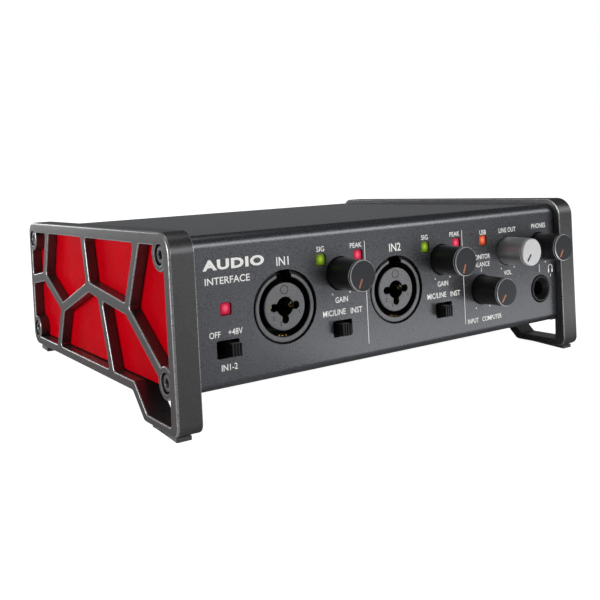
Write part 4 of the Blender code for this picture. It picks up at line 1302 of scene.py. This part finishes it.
def add_headphones_sign(bm):
    """Adds the printed sign of a headband with two ear pads, and the line beside it."""
    reach = 1.35
    rise = Vector((0.0, 0.6))
    band = corner_points((reach, -0.6), (reach, 0.6))
    band += [arm_at(math.pi * k / 12, reach) + rise for k in range(1, 12)]
    band += corner_points((-reach, 0.6), (-reach, -0.6))
    inner = [Vector((p.x * 0.78, p.y * 0.9)) for p in reversed(band)]
    add_print(bm, [p + Vector((SIGN_X, SIGN_Z)) for p in band + inner])
    for side in (-1, 1):
        add_print(bm, rectangle(SIGN_X + side * 1.1, SIGN_Z - 0.8, 0.75, 1.3))
    add_print(bm, rectangle(PHONES.x - 0.2, -28.2, 0.25, 3.2))
    add_print(bm, rectangle(SIGN_X, SIGN_Z - 2.6, 0.25, 1.3))


def make_lettering():
    """The printing on the panel: each control's job, dividing lines and end marks."""
    bm = bmesh.new()
    add_words(bm, "AUDIO", -69.2, -11.7, 3.1, 1.5, 0.06, 1.12)
    for printed in PANEL_WORDS:
        add_words(bm, *printed)
    for number in (1, 2):
        x = pivot(f"gain_{number}").x
        signal = middle(f"light_signal_{number}")
        peak = middle(f"light_peak_{number}")
        add_words(bm, "SIG", signal.x - 0.1, signal.z + 3.4, 1.85, 0.95)
        add_words(bm, "PEAK", peak.x - 0.9, peak.z + 3.4, 1.8, 0.92)
        add_words(bm, "GAIN", x, -28.5, 2.0, 0.84)
        add_words(bm, "MIC/LINE", x - 3.4, -32.7, 2.05, 0.86)
        add_words(bm, "INST", x + 6.1, -32.9, 2.05, 0.9)
    for x in (-16.9, 30.6):
        add_print(bm, rectangle(x, -27.2, 0.24, 36.4))
    for where in map(pivot, KNOBS):
        for side in (-1, 1):
            add_print(bm, circle(where.x + side * 3.75, where.z - 6.9, 0.3, 16))
    add_print(bm, rectangle(40.4, -25.4, 0.25, 1.6))
    add_headphones_sign(bm)
    bmesh.ops.remove_doubles(bm, verts=bm.verts, dist=WELD)
    make_piece("panel_lettering", bm, ["lettering"])


# ==== stage ====

WHITE = (1.0, 1.0, 1.0, 1.0)
FLOOR_GLOW = 0.97
ROOM_COLOUR = (0.9, 0.94, 1.0, 1.0)
ROOM_STRENGTH = 0.07
FASCIA_CENTRE = (0.0, -0.07, 0.03)
LEFT_SIDE = (-0.09, 0.0, 0.03)

# Each softbox: name, place, the point it aims at, width, height and power in watts.
SOFTBOXES = (
    ("front_high", (0.32, -0.82, 0.35), FASCIA_CENTRE, 0.7, 0.32, 1.9),
    ("right_high", (0.78, -0.48, 0.40), FASCIA_CENTRE, 0.6, 0.24, 0.95),
    ("front_low", (0.30, -0.80, 0.09), FASCIA_CENTRE, 0.6, 0.15, 0.04),
    ("table_bounce", (0.16, -0.16, 0.002), (0.16, -0.16, 1.0), 0.32, 0.12, 0.14),
    ("left", (-0.9, 0.15, 0.15), LEFT_SIDE, 0.4, 0.25, 5.3),
    ("rear_left", (-0.23, 0.89, 0.12), LEFT_SIDE, 0.36, 0.22, 1.1),
    ("rear", (0.55, 0.75, 0.20), FASCIA_CENTRE, 1.1, 0.35, 0.17),
    ("overhead", (0.0, 0.05, 0.85), LEFT_SIDE, 0.5, 0.5, 0.8),
)


def make_floor():
    """A wide pale floor, which glows a little for the camera so that it melts into the
    white background, and still takes the object's soft shadow."""
    bm = bmesh.new()
    bmesh.ops.create_grid(bm, x_segments=8, y_segments=8, size=6.0)
    mesh = mesh_of("floor", bm)
    pale = new_material("pale_floor", 0.7, emission_color=WHITE)
    tone = shades(pale, grain(pale, 200.0, 2.0), (0.80, 0.80, 0.80), (0.84, 0.84, 0.84))
    seen = add_node(pale, "LightPath").outputs["Is Camera Ray"]
    glow = spread(pale, seen, 0.0, FLOOR_GLOW, 0.0, 1.0)
    mesh.materials.append(finish(pale, base_color=tone, emission_strength=glow))
    new_object("floor", mesh)


def add_softbox(name, place, aim, width, height, power):
    """A rectangular light at place, pointing at aim, which the camera doesn't see."""
    light = bpy.data.lights.new(name, "AREA")
    light.shape = "RECTANGLE"
    light.size = width
    light.size_y = height
    light.energy = power
    lamp = new_object(name, light)
    lamp.location = place
    lamp.rotation_euler = (Vector(aim) - Vector(place)).to_track_quat("-Z", "Y").to_euler()
    lamp.visible_camera = False


def make_lights():
    """Soft studio light in a dim room, and a white background for the camera."""
    for softbox in SOFTBOXES:
        add_softbox(*softbox)
    world = bpy.data.worlds.new("studio")
    bpy.context.scene.world = world
    world.use_nodes = True
    nodes = world.node_tree.nodes
    room = nodes["Background"]
    room.inputs["Color"].default_value = ROOM_COLOUR
    room.inputs["Strength"].default_value = ROOM_STRENGTH
    backdrop = add_node(world, "Background", color=WHITE)
    seen = add_node(world, "LightPath").outputs["Is Camera Ray"]
    mix = add_node(world, "MixShader", fac=seen)
    feed(world, mix.inputs[1], room.outputs["Background"])
    feed(world, mix.inputs[2], backdrop.outputs["Background"])
    feed(world, nodes["World Output"].inputs["Surface"], mix.outputs["Shader"])


def make_camera():
    """The camera, set up in the case's frame to the left of the panel, looking at it."""
    place = Vector((-0.1927, -0.2228, 0.0150))
    forward = Vector((0.555, 0.832, -0.021)).normalized()
    across = Vector((0.8305, -0.5553, -0.0499))
    right = (across - forward * across.dot(forward)).normalized()
    up = right.cross(forward)
    turn = Matrix((right, up, -forward)).transposed().to_4x4()
    data = bpy.data.cameras.new("camera")
    data.sensor_width = 36.0
    data.lens = 48.68
    data.shift_x = -0.0037
    data.shift_y = -0.179
    data.clip_start = 0.01
    data.clip_end = 50.0
    camera = new_object("camera", data)
    camera.matrix_world = STAND @ Matrix.Translation(place) @ turn
    bpy.context.scene.camera = camera
    bpy.context.scene.view_settings.view_transform = "Standard"


# ==== everything ====

make_camera()
make_lights()
make_floor()
dress_cad_nodes()
make_shell()
make_rear_panel()
for side_name, side_sign in (("left", -1), ("right", 1)):
    make_side_frame(side_name, side_sign)
    make_red_panel(side_name, side_sign)
    make_screws(side_name, side_sign)
for foot_end in ("front", "rear"):
    make_foot(foot_end, "left")
    make_foot(foot_end, "right")
for combo_name, combo_centre in COMBOS.items():
    make_combo(combo_name, combo_centre)
for knob_name, pointer_angle in KNOBS.items():
    make_knob(knob_name, pointer_angle)
for switch_name in SWITCHES:
    make_switch(switch_name)
for light_name, light_colour in LIGHTS.items():
    make_light(light_name, light_colour)
make_phones_jack()
for jack_number, jack_centre in enumerate(LINE_OUTS, start=1):
    make_line_out(jack_number, jack_centre)
for socket_number, socket_centre in enumerate(MIDI, start=1):
    make_midi(socket_number, socket_centre)
make_lettering()
